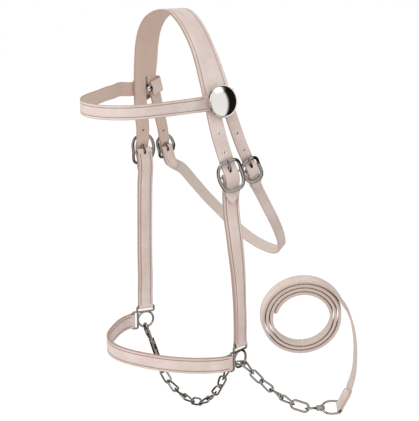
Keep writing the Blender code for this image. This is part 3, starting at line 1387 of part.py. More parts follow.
def make_lead_strap(bar_place, bar):
    """The lead's strap: a free stretch folded round the loop's bar, and the wound coil."""
    points, axis, flat = coil_spiral()
    directions = path_directions(points, False)
    sections = []
    for point, along in zip(points, directions):
        out = unit(np.cross(along, axis))
        w, t = LEAD_WIDTH / 2, LEAD_THICK / 2
        sections.append([point - axis * w - out * t, point + axis * w - out * t,
                         point + axis * w + out * t, point - axis * w + out * t])
    add_object("lead_coil", swept(points, sections, False), LEAD_LEATHER)
    print("least gap between the coil's turns: %.2f mm" % (closest_turns(flat) / MM))

    start_along = directions[0]
    end = points[0] - start_along * GAP
    lift = square_to((0.13, 0.15, 0.98), bar)
    route_points = [bar_place, bar_place + lift * 11 * MM, bar_place + lift * 20 * MM]
    route_points += [mm(point) for point in LEAD_STRAP_ROUTE]
    route_points += [end - start_along * LEAD_WIDTH, end]
    inward = -axis
    across = [bar, bar, bar] + [unit(bar * (1 - k) + inward * k) for k in (0.25, 0.5, 0.75, 0.95, 1.0)]
    across += [inward, inward]
    route = Route(route_points, across)
    sewn = FOLD_STITCH_LENGTH

    def half(s):
        """Half the thickness: two layers where the end is sewn, one beyond."""
        share = min(max((s - sewn) / (5 * MM), 0.0), 1.0)
        return (LEAD_END_THICK + (LEAD_THICK - LEAD_END_THICK) * share) / 2

    stations = even(EYE_REACH, sewn, 5) + even(sewn + 5 * MM, route.length, 20)
    add_object("lead_strap", folded_strap(route, LEAD_WIDTH, half, stations, Eye(), None), LEAD_LEATHER)


def make_chain(rings):
    """The snap, the chain under the chin and through the near ring, and the lead's chain."""
    seat = snap_seat(rings["far"], SNAP_FOOT)
    mesh = link_mesh()
    pitch = link_pitch(LINK_LENGTH, LINK_WIRE)
    along = unit(RING_LINK_ALONG)
    ring_start = mm(RING_LINK_PLACE) - along * pitch / 2
    ring_end = ring_start + along * pitch
    chin = hung_points(snap_hang_point(seat), CHIN_ROUTE, mm(CHIN_END), [pitch] * len(CHIN_ROLLS))
    make_snap(seat, chin[1] - chin[0])
    lay_links(["chin_link_%d" % (i + 1) for i in range(len(CHIN_ROLLS))], chin, CHIN_ROLLS, mesh)
    lay_links(["ring_link"], (ring_start, ring_end), (RING_LINK_ROLL,), mesh)
    big_pitch = link_pitch(BIG_LINK_LENGTH, BIG_LINK_WIRE)
    pitches = [pitch] * len(LEAD_ROLLS) + [big_pitch]
    lead = hung_points(mm(LEAD_START), LEAD_CHAIN_ROUTE, mm(SWIVEL_PLACE), pitches)
    lay_links(["lead_link_%d" % (i + 1) for i in range(len(LEAD_ROLLS))], lead, LEAD_ROLLS, mesh)
    big = link_mesh(BIG_LINK_LENGTH, BIG_LINK_WIDTH, BIG_LINK_WIRE, 0.0)
    lay_links(["lead_end_link"], lead[-2:], (BIG_LINK_ROLL,), big)


def main():
    """Clear the scene and make every piece of the halter."""
    for item in list(bpy.data.objects):
        bpy.data.objects.remove(item)
    seats = buckle_seats()
    rings = ring_seats()
    near_cheek = cheek_route(seats["near_front"], rings["near"], NEAR_CHEEK_ROUTE, NEAR_CHEEK_AZIMUTHS, True)
    far_cheek = cheek_route(seats["far_front"], rings["far"], FAR_CHEEK_ROUTE, FAR_CHEEK_AZIMUTHS, False)
    throat = throat_route(seats)
    straps = {"near_front": (near_cheek, CHEEK_THICK / 2), "far_front": (far_cheek, CHEEK_THICK / 2),
              "near_rear": (throat, THROAT_END_THICK / 2), "far_rear": (throat, THROAT_END_THICK / 2)}
    crown, billets = make_crown(seats, straps)
    slits = slit_seats(crown, billets)
    band, posts = make_browband(slits, billets)
    make_cheek("cheek_strap_near", near_cheek, seats["near_front"])
    make_cheek("cheek_strap_far", far_cheek, seats["far_front"])
    make_throatlatch(throat, seats)
    make_noseband(rings["far"], rings["near"])
    for name, seat in seats.items():
        size = FRONT_BUCKLE if name.endswith("front") else REAR_BUCKLE
        make_buckle("buckle_" + name, seat, size)
        make_tongue("tongue_" + name, seat, size)
    for side, slit in slits.items():
        make_concho(side, *concho_seat(slit, band, posts[side]))
    for side, seat in rings.items():
        make_ring("halter_ring_" + side, seat)
    make_chain(rings)
    make_lead_strap(*make_lead_swivel())


main()
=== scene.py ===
"""The looks of a leather show halter with a chain lead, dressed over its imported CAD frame.

+X is the horse's near side, the horse faces -Y, +Z is up, and the origin lies under the
crown's arch, where a hook holds the halter. The numbers below are in millimetres, meshes in metres.
"""
import logging
import math
from dataclasses import dataclass
from enum import Enum
from typing import Iterable, Sequence

import bmesh
import bpy
import numpy as np
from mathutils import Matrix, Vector


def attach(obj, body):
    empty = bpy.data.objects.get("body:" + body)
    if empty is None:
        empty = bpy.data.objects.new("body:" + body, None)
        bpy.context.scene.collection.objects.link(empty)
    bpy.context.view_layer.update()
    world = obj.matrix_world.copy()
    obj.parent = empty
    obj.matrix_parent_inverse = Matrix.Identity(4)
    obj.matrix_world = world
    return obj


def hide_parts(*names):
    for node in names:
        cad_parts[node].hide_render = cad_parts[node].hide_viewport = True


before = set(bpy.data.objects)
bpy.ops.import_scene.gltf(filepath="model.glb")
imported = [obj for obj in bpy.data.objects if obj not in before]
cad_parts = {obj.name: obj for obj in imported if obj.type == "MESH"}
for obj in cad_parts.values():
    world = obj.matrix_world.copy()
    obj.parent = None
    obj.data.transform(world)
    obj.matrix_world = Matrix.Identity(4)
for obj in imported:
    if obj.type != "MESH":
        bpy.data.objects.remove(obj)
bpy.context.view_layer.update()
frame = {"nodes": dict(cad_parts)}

Array = np.ndarray
Point = Sequence[float]
Table = Sequence[Point]
Piece = bpy.types.Object
Finish = bpy.types.Material
Tree = bpy.types.NodeTree
Socket = bpy.types.NodeSocket
MM = 0.001
SHARP_EDGE = math.radians(42.0)
log = logging.getLogger("halter")

# Straps: points of their middle lines, laid as in the part's source
CROWN_ROUTE: Table = (
    (-62.2, 0.0, -92.0), (-59.4, 0.0, -69.0), (-56.2, 0.0, -46.0), (-49.6, 0.0, -27.0),
    (-37.5, 0.0, -12.0), (-21.0, 0.0, -2.8), (-2.0, 0.0, 1.7), (16.0, 0.0, 0.2),
    (33.0, 0.0, -9.5), (48.0, 0.0, -24.0), (61.5, 0.0, -42.0), (73.0, 0.0, -62.0),
    (81.0, 0.0, -79.0), (86.6, 0.5, -93.5),
)
LEG_ROUTES: dict[str, Table] = {
    "near_front": ((91.0, -7.6, -116.0), (96.6, -4.8, -142.0)),
    "near_rear": ((92.6, 17.2, -116.0), (95.2, 25.0, -140.0)),
    "far_front": ((-65.5, -6.0, -116.0), (-69.8, -1.8, -142.0)),
    "far_rear": ((-65.2, 19.5, -116.0), (-69.5, 28.5, -142.0)),
}
BROWBAND_ROUTE: Table = (
    (-69.0, -36.0, -107.0), (-56.0, -57.0, -107.0), (-44.5, -78.0, -107.0),
    (-32.0, -98.5, -107.5), (-18.0, -121.0, -107.5), (-2.0, -142.0, -107.5),
    (16.0, -157.0, -107.7), (38.0, -166.0, -108.2), (60.0, -161.0, -109.3),
    (78.0, -143.0, -110.0), (88.5, -118.0, -110.2), (93.0, -90.0, -109.8),
    (96.0, -62.0, -109.3), (96.5, -36.0, -109.0),
)
NOSEBAND_ROUTE: Table = (
    (-106.5, -6.0, -461.0), (-101.5, -20.0, -461.1), (-88.5, -42.0, -462.3),
    (-69.0, -65.5, -463.5), (-47.0, -78.5, -464.3), (-22.0, -82.0, -464.6),
    (4.0, -76.5, -464.8), (29.0, -66.5, -464.8), (55.0, -52.0, -464.8),
    (77.0, -34.0, -464.7), (93.5, -14.0, -464.6), (102.0, 1.0, -464.5),
)
THROAT_ROUTE: Table = (
    (-81.0, 79.0, -234.5), (-76.5, 99.5, -258.5), (-68.5, 117.0, -281.5),
    (-55.5, 134.0, -304.0), (-37.0, 143.5, -322.5), (-14.5, 149.8, -335.8),
    (8.0, 155.5, -344.5), (32.0, 158.5, -347.5), (52.0, 153.5, -341.0),
    (68.0, 139.0, -321.5), (77.0, 118.0, -291.0), (80.0, 98.5, -263.0), (82.5, 83.0, -241.0),
)
NEAR_CHEEK_ROUTE: Table = ((98.6, 18.0, -250.0), (103.2, 21.2, -296.0), (103.2, 27.0, -340.0),
                           (102.0, 31.2, -384.0))
NEAR_CHEEK_AZIMUTHS = (72.0, 75.0, 89.0, 98.0)
FAR_CHEEK_ROUTE: Table = ((-86.0, 15.2, -250.0), (-89.5, 16.6, -300.0), (-93.5, 18.8, -352.0),
                          (-98.0, 22.2, -405.0))
FAR_CHEEK_AZIMUTHS = (80.0, 81.0, 80.0, 76.0)
LEAD_STRAP_ROUTE: Table = (
    (202.9, 142.4, -504.5), (205.2, 148.3, -484.0), (204.2, 151.8, -459.0),
    (201.7, 152.1, -433.0), (199.0, 149.6, -414.0),
)

# Chains: points of the lines in which they hang, and how far each link is rolled
CHIN_ROUTE: Table = (
    (-44.0, 26.7, -547.7), (-22.0, 27.7, -555.5), (0.0, 28.8, -558.0), (21.0, 29.5, -554.0),
    (40.0, 30.2, -542.0), (55.0, 30.5, -526.0), (67.5, 30.0, -506.5), (79.5, 29.0, -485.5),
)
CHIN_END = (91.3, 28.2, -469.9)
CHIN_ROLLS = (126.0, 90.0, 54.0, 18.0, -18.0, -54.0, -90.0, -126.0, -162.0, -198.0, -234.0)
RING_LINK_PLACE = (98.5, 31.5, -470.6)
RING_LINK_ALONG = (0.837, 0.547, 0.01)
RING_LINK_ROLL = -270.0
LEAD_START = (105.7, 35.2, -469.2)
LEAD_CHAIN_ROUTE: Table = (
    (116.4, 44.1, -485.0), (124.0, 54.0, -498.7), (132.7, 65.0, -511.0),
    (140.9, 76.4, -522.0), (149.0, 88.4, -531.5),
)
LEAD_ROLLS = (-323.0, -366.0, -411.0, -456.0, -500.0)
BIG_LINK_ROLL = -563.0

# The snap: where its foot hangs, how far beside and above the ring's wire the snap's own origin lies,
# on its barrel's axis and level with its hook's top, and how far up that axis the chain hangs
SNAP_FOOT = (-61.0, 26.0, -543.0)
HOOK_SEAT = (5.4, 4.7)
SNAP_HANG = -74.8

# The lead's swivel: where its eye hangs, its axis, the way along its loop's bar and the bar's distance
SWIVEL_PLACE = (161.2, 105.1, -538.2)
SWIVEL_AXIS = (0.643, 0.766, 0.05)
LOOP_BAR_WAY = (-0.659, 0.553, 0.5)
LOOP_BAR = 44.2

# Sizes that several pieces share
CROWN_WIDTH = 38.0
CROWN_THICK = 3.4
FRONT_BILLET = 19.5
REAR_BILLET = 16.0
BAND_END_WIDTH = 21.0
BAND_THICK = 2.6
CHEEK_THICK = 5.6
THROAT_END_THICK = 5.0
DISC_RADIUS = 21.3
RING_RADIUS = 11.9
SLOT_BAR = 20.3

# How far out a billet's middle lies under its buckle's rims and over the bar, how far out of a
# billet's middle the browband's lies, how far below the crown the discs' posts are, and how steeply
# inward a folded end leaves its bar
UNDER_RIM = 0.9
OVER_BAR = 5.75
BAND_LIFT = CROWN_THICK / 2 + 1.2 + BAND_THICK / 2
SLIT_POST = 16.0
FOLD_TILT = math.radians(16.5)


def unit(vectors: Array) -> Array:
    """The vectors at length one."""
    vectors = np.asarray(vectors, float)
    return vectors / np.linalg.norm(vectors, axis=-1, keepdims=True)


def square_to(vectors: Array, axes: Array) -> Array:
    """The parts of the vectors that are square to the axes, at length one.

    Args:
        vectors: Directions, one per row, or a single one.
        axes: Axes of length one, one per row, or a single one.

    Returns:
        v - a (v . a), divided by its length.
    """
    vectors, axes = np.broadcast_arrays(np.asarray(vectors, float), np.asarray(axes, float))
    return unit(vectors - axes * np.sum(vectors * axes, axis=-1, keepdims=True))


def facing(degrees: float) -> Array:
    """The level direction at an azimuth: 0 is forward (-Y), 90 is the near side (+X)."""
    angle = math.radians(degrees)
    return np.array((math.sin(angle), -math.cos(angle), 0.0))


def smooth_curve(knots: Array, values: Array, samples: Array) -> Array:
    """Cubic curve through values at knots, each slope weighed from its two chords.

    Args:
        knots: Rising parameters.
        values: One row per knot.
        samples: Parameters at which the curve is wanted.

    Returns:
        Hermite blend (2t3-3t2+1)a + (t3-2t2+t)h m + (3t2-2t3)b + (t3-t2)h n, one row per sample.
    """
    values = np.asarray(values, float)
    steps = np.diff(knots)[:, None]
    chords = np.diff(values, axis=0) / steps
    slopes = np.empty_like(values)
    slopes[0], slopes[-1] = chords[0], chords[-1]
    slopes[1:-1] = (chords[:-1] * steps[1:] + chords[1:] * steps[:-1]) / (steps[1:] + steps[:-1])
    index = np.clip(np.searchsorted(knots, samples, side="right") - 1, 0, len(knots) - 2)
    width = steps[index]
    t = (samples - knots[index])[:, None] / width
    start, end = values[index], values[index + 1]
    return ((2 * t**3 - 3 * t**2 + 1) * start + (t**3 - 2 * t**2 + t) * width * slopes[index]
            + (3 * t**2 - 2 * t**3) * end + (t**3 - t**2) * width * slopes[index + 1])


def run_length(points: Array) -> Array:
    """Length along a line of points, from 0 at its first."""
    return np.concatenate(([0.0], np.cumsum(np.linalg.norm(np.diff(points, axis=0), axis=1))))


def smooth_line(points: Array, spacing: float) -> Array:
    """A smooth line through the points, sampled evenly at about the spacing."""
    knots = run_length(points)
    return smooth_curve(knots, points, np.linspace(0.0, knots[-1], max(3, round(knots[-1] / spacing) + 1)))


def ease(low: float, high: float, values: Array) -> Array:
    """3t2 - 2t3 of how far the values are from low to high, held between 0 and 1."""
    t = np.clip((np.asarray(values, float) - low) / (high - low), 0.0, 1.0)
    return t * t * (3 - 2 * t)


class Route:
    """A strap's centre line with the direction across the strap, by length along it."""

    SAMPLES = 1200

    def __init__(self, points: Table, across: Table) -> None:
        """Lay a smooth curve through points in metres and the directions across the strap there.

        Args:
            points: Points of the middle line.
            across: A direction across the strap at each of them.
        """
        knots = run_length(np.array(points))
        fine = np.linspace(0.0, knots[-1], self.SAMPLES)
        self.line = smooth_curve(knots, points, fine)
        self.side = smooth_curve(knots, across, fine)
        self.arc = run_length(self.line)
        self.slope = np.gradient(self.line, self.arc, axis=0)
        self.length = float(self.arc[-1])

    def _read(self, values: Array, s: Array) -> Array:
        """Values along the line at lengths s."""
        return np.column_stack([np.interp(s, self.arc, values[:, k]) for k in range(3)])

    def frames(self, s: Array) -> tuple[Array, Array, Array, Array]:
        """Point, along, across and outward at each length; past an end the line runs straight on.

        Args:
            s: Lengths along the line.

        Returns:
            Four tables, each with a row for each length.
        """
        s = np.atleast_1d(np.asarray(s, float))
        inside = np.clip(s, 0.0, self.length)
        along = unit(self._read(self.slope, inside))
        across = square_to(self._read(self.side, inside), along)
        points = self._read(self.line, inside) + along * (s - inside)[:, None]
        return points, along, across, np.cross(along, across)

    def at(self, s: Array, out: Array = 0.0, side: Array = 0.0) -> Array:
        """Points at lengths s, moved out of the face and across the strap.

        Args:
            s: Lengths along the line.
            out: How far they are moved out of the face.
            side: How far they are moved across.

        Returns:
            A row for each length.
        """
        points, _, across, outward = self.frames(s)
        shape = (len(points), 1)
        return (points + outward * np.broadcast_to(out, len(points)).reshape(shape)
                + across * np.broadcast_to(side, len(points)).reshape(shape))

    def nearest(self, point: Array) -> float:
        """The length at which the line passes closest to a point."""
        return float(self.arc[np.argmin(np.linalg.norm(self.line - point, axis=1))])


@dataclass(frozen=True)
class Seat:
    """A fitting's own frame, from its place in millimetres, its up and its outward direction."""

    place: Point
    up: Point
    out: Point

    def axes(self) -> Array:
        """Rows: side, up and out, each of length one.

        Returns:
            Three rows by three.
        """
        up = unit(self.up)
        out = square_to(self.out, up)
        return np.array((np.cross(up, out), up, out))

    def put(self, points: Array) -> Array:
        """Points given along side, up and out, in the row frame."""
        return np.asarray(self.place) * MM + np.asarray(points, float) @ self.axes()

    def at(self, side: float = 0.0, up: float = 0.0, out: float = 0.0) -> Array:
        """The point at distances along side, up and out given in millimetres."""
        return self.put(np.array((side, up, out)) * MM)

    def rear(self) -> Array:
        """The side direction, turned toward the horse's rear."""
        side = self.axes()[0]
        return side * np.sign(side[1])

    def fold_way(self) -> Array:
        """The way in which a folded end leaves the bar: down the strap and a little inward."""
        _, up, out = self.axes()
        return -up * math.cos(FOLD_TILT) - out * math.sin(FOLD_TILT)


# Where the fittings sit


class Side(Enum):
    """The horse's two sides."""

    NEAR = "near"
    FAR = "far"

    @property
    def flip(self) -> float:
        """1 on the near side, -1 on the far side."""
        return 1.0 if self is Side.NEAR else -1.0


@dataclass(frozen=True)
class BuckleSize:
    """A buckle's outside width and height, and how far its end rims stand from the bar."""

    width: float
    height: float
    frame: float = 4.4
    thick: float = 3.2
    arch: float = 6.0

    @property
    def rim(self) -> float:
        """From the centre bar to the middle of an end rim, in millimetres."""
        return self.height / 2 - self.frame / 2


FRONT_BUCKLE = BuckleSize(36.8, 46.0)
REAR_BUCKLE = BuckleSize(29.5, 38.0)
NEAR_OUT, FAR_OUT = facing(72.0), -facing(80.0)
BUCKLES = {
    "near_front": (Seat((101.1, 13.9, -204.3), (-0.031, -0.318, 0.947), NEAR_OUT), FRONT_BUCKLE),
    "near_rear": (Seat((96.2, 54.5, -202.8), (0.02, -0.46, 0.887), NEAR_OUT), REAR_BUCKLE),
    "far_front": (Seat((-83.0, 11.7, -200.0), (0.17, -0.16, 0.97), FAR_OUT), FRONT_BUCKLE),
    "far_rear": (Seat((-83.0, 52.5, -201.0), (0.192, -0.357, 0.914), FAR_OUT), REAR_BUCKLE),
}
RINGS = {
    Side.NEAR: Seat((101.0, 33.5, -464.5), (0, 0, 1), facing(98.0)),
    Side.FAR: Seat((-101.0, 24.0, -461.0), (0, 0, 1), -facing(72.5)),
}


# Lines of the straps and chains


class StrapLines:
    """Every strap's middle line, from the fittings' seats and the listed routes."""

    def __init__(self) -> None:
        """Work the lines out in the order in which they lean on each other."""
        self.crown = self._crown()
        self.throat = self._throat()
        self.nose = self._nose()
        self.cheeks = {Side.NEAR: self._cheek(Side.NEAR, NEAR_CHEEK_ROUTE, NEAR_CHEEK_AZIMUTHS),
                       Side.FAR: self._cheek(Side.FAR, FAR_CHEEK_ROUTE, FAR_CHEEK_AZIMUTHS)}
        self.billets = {name: self._billet(name) for name in BUCKLES}
        self.slits = {side: self._slit(side) for side in Side}
        self.band = self._band()
        self.posts = {side: self.band.nearest(slit.at(0, 0, BAND_LIFT))
                      for side, slit in self.slits.items()}

    @staticmethod
    def _crown() -> Route:
        """The crown over the poll, its ends turned out to the legs.

        Returns:
            Its route.
        """
        across = [facing(184.0)] + [(0.0, 1.0, 0.0)] * (len(CROWN_ROUTE) - 4)
        across += [facing(azimuth + 90.0) for azimuth in (84.0, 78.0, 74.0)]
        return Route(np.array(CROWN_ROUTE) * MM, across)

    @staticmethod
    def _throat() -> Route:
        """The throatlatch from the far rear buckle's bar under the throat to the near one's.

        Returns:
            Its route.
        """
        far, near = BUCKLES["far_rear"][0], BUCKLES["near_rear"][0]
        points = [far.at() + far.fold_way() * reach * MM for reach in (0, 11, 21)]
        points += list(np.array(THROAT_ROUTE) * MM)
        points += [near.at() + near.fold_way() * reach * MM for reach in (21, 11, 0)]
        lean = math.radians(36.0)
        across = [-far.rear()] * 3 + [(0.0, -math.cos(lean), -math.sin(lean))] * len(THROAT_ROUTE)
        return Route(points, across + [-near.rear()] * 3)

    @staticmethod
    def _nose() -> Route:
        """The noseband from the far ring's front slot to the near ring's.

        Returns:
            Its route.
        """
        bars = [ring.at() - ring.rear() * SLOT_BAR * MM for ring in (RINGS[Side.FAR], RINGS[Side.NEAR])]
        points = [bars[0]] + list(np.array(NOSEBAND_ROUTE) * MM) + [bars[1]]
        return Route(points, [(0.0, 0.0, 1.0)] * len(points))

    @staticmethod
    def _cheek(side: Side, middle: Table, azimuths: Point) -> Route:
        """A cheek from its buckle's bar to the slot above its ring.

        Args:
            side: Which cheek.
            middle: Its listed points.
            azimuths: The way its face looks at each of them, on the near side.

        Returns:
            Its route.
        """
        seat, ring = BUCKLES[side.value + "_front"][0], RINGS[side]
        aside = seat.axes()[0] * np.dot(np.array(middle[0]) * MM - seat.at(), seat.axes()[0]) * 0.12
        down = seat.fold_way() * MM
        points = [seat.at(), seat.at() + down * 9, seat.at() + down * 16 + aside]
        points += list(np.array(middle) * MM)
        points += [ring.at(0, SLOT_BAR + reach, 0) for reach in (24, 11, 0)]
        across = [seat.rear()] * 3 + [facing(azimuth + 90.0) for azimuth in azimuths] + [ring.rear()] * 3
        return Route(points, [np.array(way) * side.flip for way in across])

    def _billet(self, name: str) -> Route:
        """A billet from the crown's split, over its buckle's bar, to its point on the strap below.

        Args:
            name: The buckle.

        Returns:
            Its route.
        """
        seat, size = BUCKLES[name]
        side, front = Side(name.split("_")[0]), name.endswith("front")
        strap = self.cheeks[side] if front else self.throat
        layer = (CHEEK_THICK if front else THROAT_END_THICK) / 2
        away = (size.rim + 21.0 * np.array((0.36, 0.66, 1.0))) * MM
        s = away if strap.nearest(seat.at()) < strap.length / 2 else strap.length - away
        _, _, over, outward = strap.frames(s)
        tip = strap.at(s, np.sign(outward @ seat.axes()[2]) * (layer + 0.8 + CROWN_THICK / 2) * MM)
        aside = float(np.dot(tip[0] - seat.at(), seat.axes()[0])) / MM
        offset = (FRONT_BILLET - CROWN_WIDTH) / 2 if front else (CROWN_WIDTH - REAR_BILLET) / 2
        split = self.crown.length if side is Side.NEAR else 0.0
        rim, edge = size.rim, 4.2
        through = ((0, rim + 11, UNDER_RIM - 1), (0, rim + edge, UNDER_RIM), (0, rim - edge, UNDER_RIM + 0.1),
                   (0, 5.5, OVER_BAR - 0.5), (0, 0, OVER_BAR), (0, -5.5, OVER_BAR - 0.5),
                   (aside * 0.35, edge - rim, UNDER_RIM + 0.1), (aside * 0.8, -rim - edge, UNDER_RIM))
        points = [self.crown.at(split, 0.0, offset * MM)[0]] + list(np.array(LEG_ROUTES[name]) * MM)
        points += [seat.at(*place) for place in through] + list(tip)
        first, rear = self.crown.frames(split)[2][0], seat.rear()
        across = [first, unit(first * 0.6 + rear * 0.4)] + [rear] * (len(points) - 5)
        return Route(points, across + list(over * np.sign(over @ rear)[:, None]))

    def _slit(self, side: Side) -> Seat:
        """Where a disc's post goes through the slit, square to the leg.

        Args:
            side: Which disc.

        Returns:
            The post's seat, its out direction away from the head.
        """
        front, rear = self.billets[side.value + "_front"], self.billets[side.value + "_rear"]
        s, half_front, half_rear = SLIT_POST * MM, FRONT_BILLET / 2 * MM, REAR_BILLET / 2 * MM
        middle = (front.at(s, 0.0, half_front) + rear.at(s, 0.0, -half_rear))[0] / 2
        up = -(front.frames(s)[1] + rear.frames(s)[1])[0]
        across = (rear.at(s, 0.0, half_rear) - front.at(s, 0.0, -half_front))[0]
        return Seat(middle / MM, up, np.cross(across, up) * side.flip)

    def _wrap(self, side: Side) -> list[Array]:
        """The band's points from over the front billet, round the rear one's edge, back to the slit.

        Args:
            side: Which end of the band.

        Returns:
            The points, in metres.
        """
        lift, curve, half_front, half_rear = BAND_LIFT, BAND_LIFT * 0.72, FRONT_BILLET / 2, REAR_BILLET / 2
        over = np.array(((lift, -half_front - 1), (lift, 0), (lift, half_front)))
        round_edge = np.array((
            (lift, 2 - half_rear), (lift, 0), (lift, half_rear - 1), (curve, half_rear + curve),
            (0, half_rear + lift), (-curve, half_rear + curve), (-lift, half_rear - 1), (-lift, 0),
            (-lift, 1.5 - half_rear)))
        points: list[Array] = []
        for end, rows in (("_front", over), ("_rear", round_edge)):
            s = np.full(len(rows), SLIT_POST * MM)
            points += list(self.billets[side.value + end].at(s, rows[:, 0] * side.flip * MM, rows[:, 1] * MM))
        return points

    def _band(self) -> Route:
        """The browband from behind the far leg, over both faces and the brow, to behind the near leg.

        Returns:
            Its route.
        """
        points = self._wrap(Side.FAR)[::-1] + list(np.array(BROWBAND_ROUTE) * MM) + self._wrap(Side.NEAR)
        leg = {side: -self.billets[side.value + "_rear"].frames(SLIT_POST * MM)[1][0] for side in Side}
        face = {side: slit.axes()[1] for side, slit in self.slits.items()}
        across = [leg[Side.FAR]] * 9 + [face[Side.FAR]] * 3 + [(0.0, 0.0, 1.0)] * len(BROWBAND_ROUTE)
        return Route(points, across + [face[Side.NEAR]] * 3 + [leg[Side.NEAR]] * 9)

    def disc_seat(self, side: Side) -> tuple[Seat, float]:
        """How a disc lies over its slit, its rim on the browband.

        Args:
            side: Which disc.

        Returns:
            Its frame, leant 0.6 of the way to the band's face, and the height of its rim.
        """
        slit, post, reach = self.slits[side], self.posts[side], DISC_RADIUS * MM
        front, rear = self.band.at((post - reach * side.flip, post + reach * side.flip))
        face = np.cross(slit.axes()[1], front - (slit.at() + (rear - slit.at()) * 0.6))
        face *= np.sign(np.dot(face, slit.axes()[2]))
        seat = Seat(slit.place, slit.up, face * 0.6 + slit.axes()[2] * np.linalg.norm(face) * 0.4)
        s, across = np.meshgrid(np.arange(-DISC_RADIUS, 14.0), np.array((-0.5, 0.0, 0.5)) * BAND_END_WIDTH)
        under = np.hypot(s, across) < DISC_RADIUS + 1
        band = self.band.at(post + side.flip * s[under] * MM, BAND_THICK / 2 * MM, across[under] * MM)
        return seat, float(((band - seat.at()) @ seat.axes()[2]).max()) / MM + 0.3


def sagged(line: Array, length: float) -> Array:
    """A hanging line with its drop below the straight run scaled until it is as long as the chain.

    Args:
        line: Points of the line as listed.
        length: The chain's length.

    Returns:
        As many points, with the same two ends.
    """
    share = np.linalg.norm(line - line[0], axis=1)
    straight = line[0] + (line[-1] - line[0]) * (share / share[-1])[:, None]
    low, high = 0.0, 4.0
    for _ in range(40):
        middle = (low + high) / 2
        short = run_length(straight + (line - straight) * middle)[-1] < length
        low, high = (middle, high) if short else (low, middle)
    return straight + (line - straight) * high


def hung_points(start: Point, route: Table, end: Point, pitches: Sequence[float]) -> Array:
    """Where each link hangs in the one before it.

    Args:
        start: Where the first link hangs.
        route: The points between, as listed.
        end: Where the last link ends.
        pitches: Each link's length from hang to hang.

    Returns:
        Points on the sagged route, moved until each lies its link's pitch from the next.
    """
    line = sagged(np.vstack((start, route, end)), sum(pitches))
    knots = run_length(line)
    share = np.concatenate(([0.0], np.cumsum(pitches))) / sum(pitches) * knots[-1]
    points = smooth_curve(knots, line, share)
    last = len(pitches)
    for _ in range(400):
        points[0] = start
        for i in range(last):
            points[i + 1] = points[i] + unit(points[i + 1] - points[i]) * pitches[i]
        points[last] = end
        for i in range(last, 0, -1):
            points[i - 1] = points[i] + unit(points[i - 1] - points[i]) * pitches[i - 1]
    return points


# Meshes


class Shell:
    """A mesh in the making: grids and polygons with the surface maps of their corners."""

    MAPS = ("run", "section", "work")

    def __init__(self, mapped: bool = False) -> None:
        """Start empty; a mapped shell also carries the three surface maps.

        Args:
            mapped: Whether its faces carry surface maps.
        """
        self.mapped = mapped
        self.points: list[Array] = []
        self.faces: list[list[int]] = []
        self.corners: list[Array] = []
        self.count = 0

    def add_points(self, points: Array) -> Array:
        """Add loose points.

        Args:
            points: Rows of three coordinates, or a grid of them.

        Returns:
            One number for each point.
        """
        points = np.asarray(points, float).reshape(-1, 3)
        self.points.append(points)
        self.count += len(points)
        return np.arange(self.count - len(points), self.count)

    def quads(self, index: Array, maps: Array | None = None) -> None:
        """Faces between neighbouring rows and columns of a table of point numbers.

        Args:
            index: Point numbers, rows by columns, with wrapped rows and columns repeated.
            maps: Surface maps of the same rows and columns, each with six values.
        """
        square = np.stack((index[:-1, :-1], index[1:, :-1], index[1:, 1:], index[:-1, 1:]), axis=-1)
        self.faces.extend(square.reshape(-1, 4).tolist())
        if self.mapped:
            four = np.stack((maps[:-1, :-1], maps[1:, :-1], maps[1:, 1:], maps[:-1, 1:]), axis=2)
            self.corners.append(four.reshape(-1, 6))

    def grid(self, points: Array, maps: Array | None = None, around: bool = True,
             closed: bool = False) -> Array:
        """Add a grid of points and its faces.

        Args:
            points: Rows by columns by three.
            maps: Rows (and one more where closed) by columns by six.
            around: Whether the last column joins the first.
            closed: Whether the last row joins the first.

        Returns:
            The point numbers, rows by columns.
        """
        index = self.add_points(points).reshape(points.shape[:2])
        table = np.vstack((index, index[:1])) if closed else index
        if around:
            table = np.hstack((table, table[:, :1]))
            maps = None if maps is None else np.concatenate((maps, maps[:, :1]), axis=1)
        self.quads(table, maps)
        return index

    def solid(self, points: Array) -> None:
        """Add a grid that runs round, with a face over its first and its last row.

        Args:
            points: Rows by columns by three.
        """
        index = self.grid(points)
        self.polygon(index[0][::-1])
        self.polygon(index[-1])

    def polygon(self, numbers: Iterable[int], maps: Array | None = None) -> None:
        """Add one face over the numbered points.

        Args:
            numbers: Point numbers in their order round the face.
            maps: Surface maps of its corners, each with six values.
        """
        numbers = [int(k) for k in numbers]
        self.faces.append(numbers)
        if self.mapped:
            self.corners.append(np.asarray(maps, float).reshape(len(numbers), 6))

    def piece(self, name: str, *materials: Finish) -> Piece:
        """The finished piece: welded, closed and with its faces outward, at the origin.

        Args:
            name: Its name.
            materials: Its finishes.

        Returns:
            The object, linked to the scene.
        """
        mesh = bpy.data.meshes.new(name)
        mesh.from_pydata(np.concatenate(self.points), [], self.faces)
        if self.mapped:
            values = np.concatenate(self.corners)
            for k, label in enumerate(self.MAPS):
                layer = mesh.uv_layers.new(name=label)
                layer.uv.foreach_set("vector", values[:, 2 * k:2 * k + 2].astype(np.float32).ravel())
        body = bmesh.new()
        body.from_mesh(mesh)
        bmesh.ops.remove_doubles(body, verts=body.verts, dist=2e-6)
        bmesh.ops.recalc_face_normals(body, faces=body.faces)
        body.to_mesh(mesh)
        body.free()
        mesh.shade_smooth()
        mesh.set_sharp_from_angle(angle=SHARP_EDGE)
        for material in materials:
            mesh.materials.append(material)
        item = bpy.data.objects.new(name, mesh)
        bpy.context.scene.collection.objects.link(item)
        return item


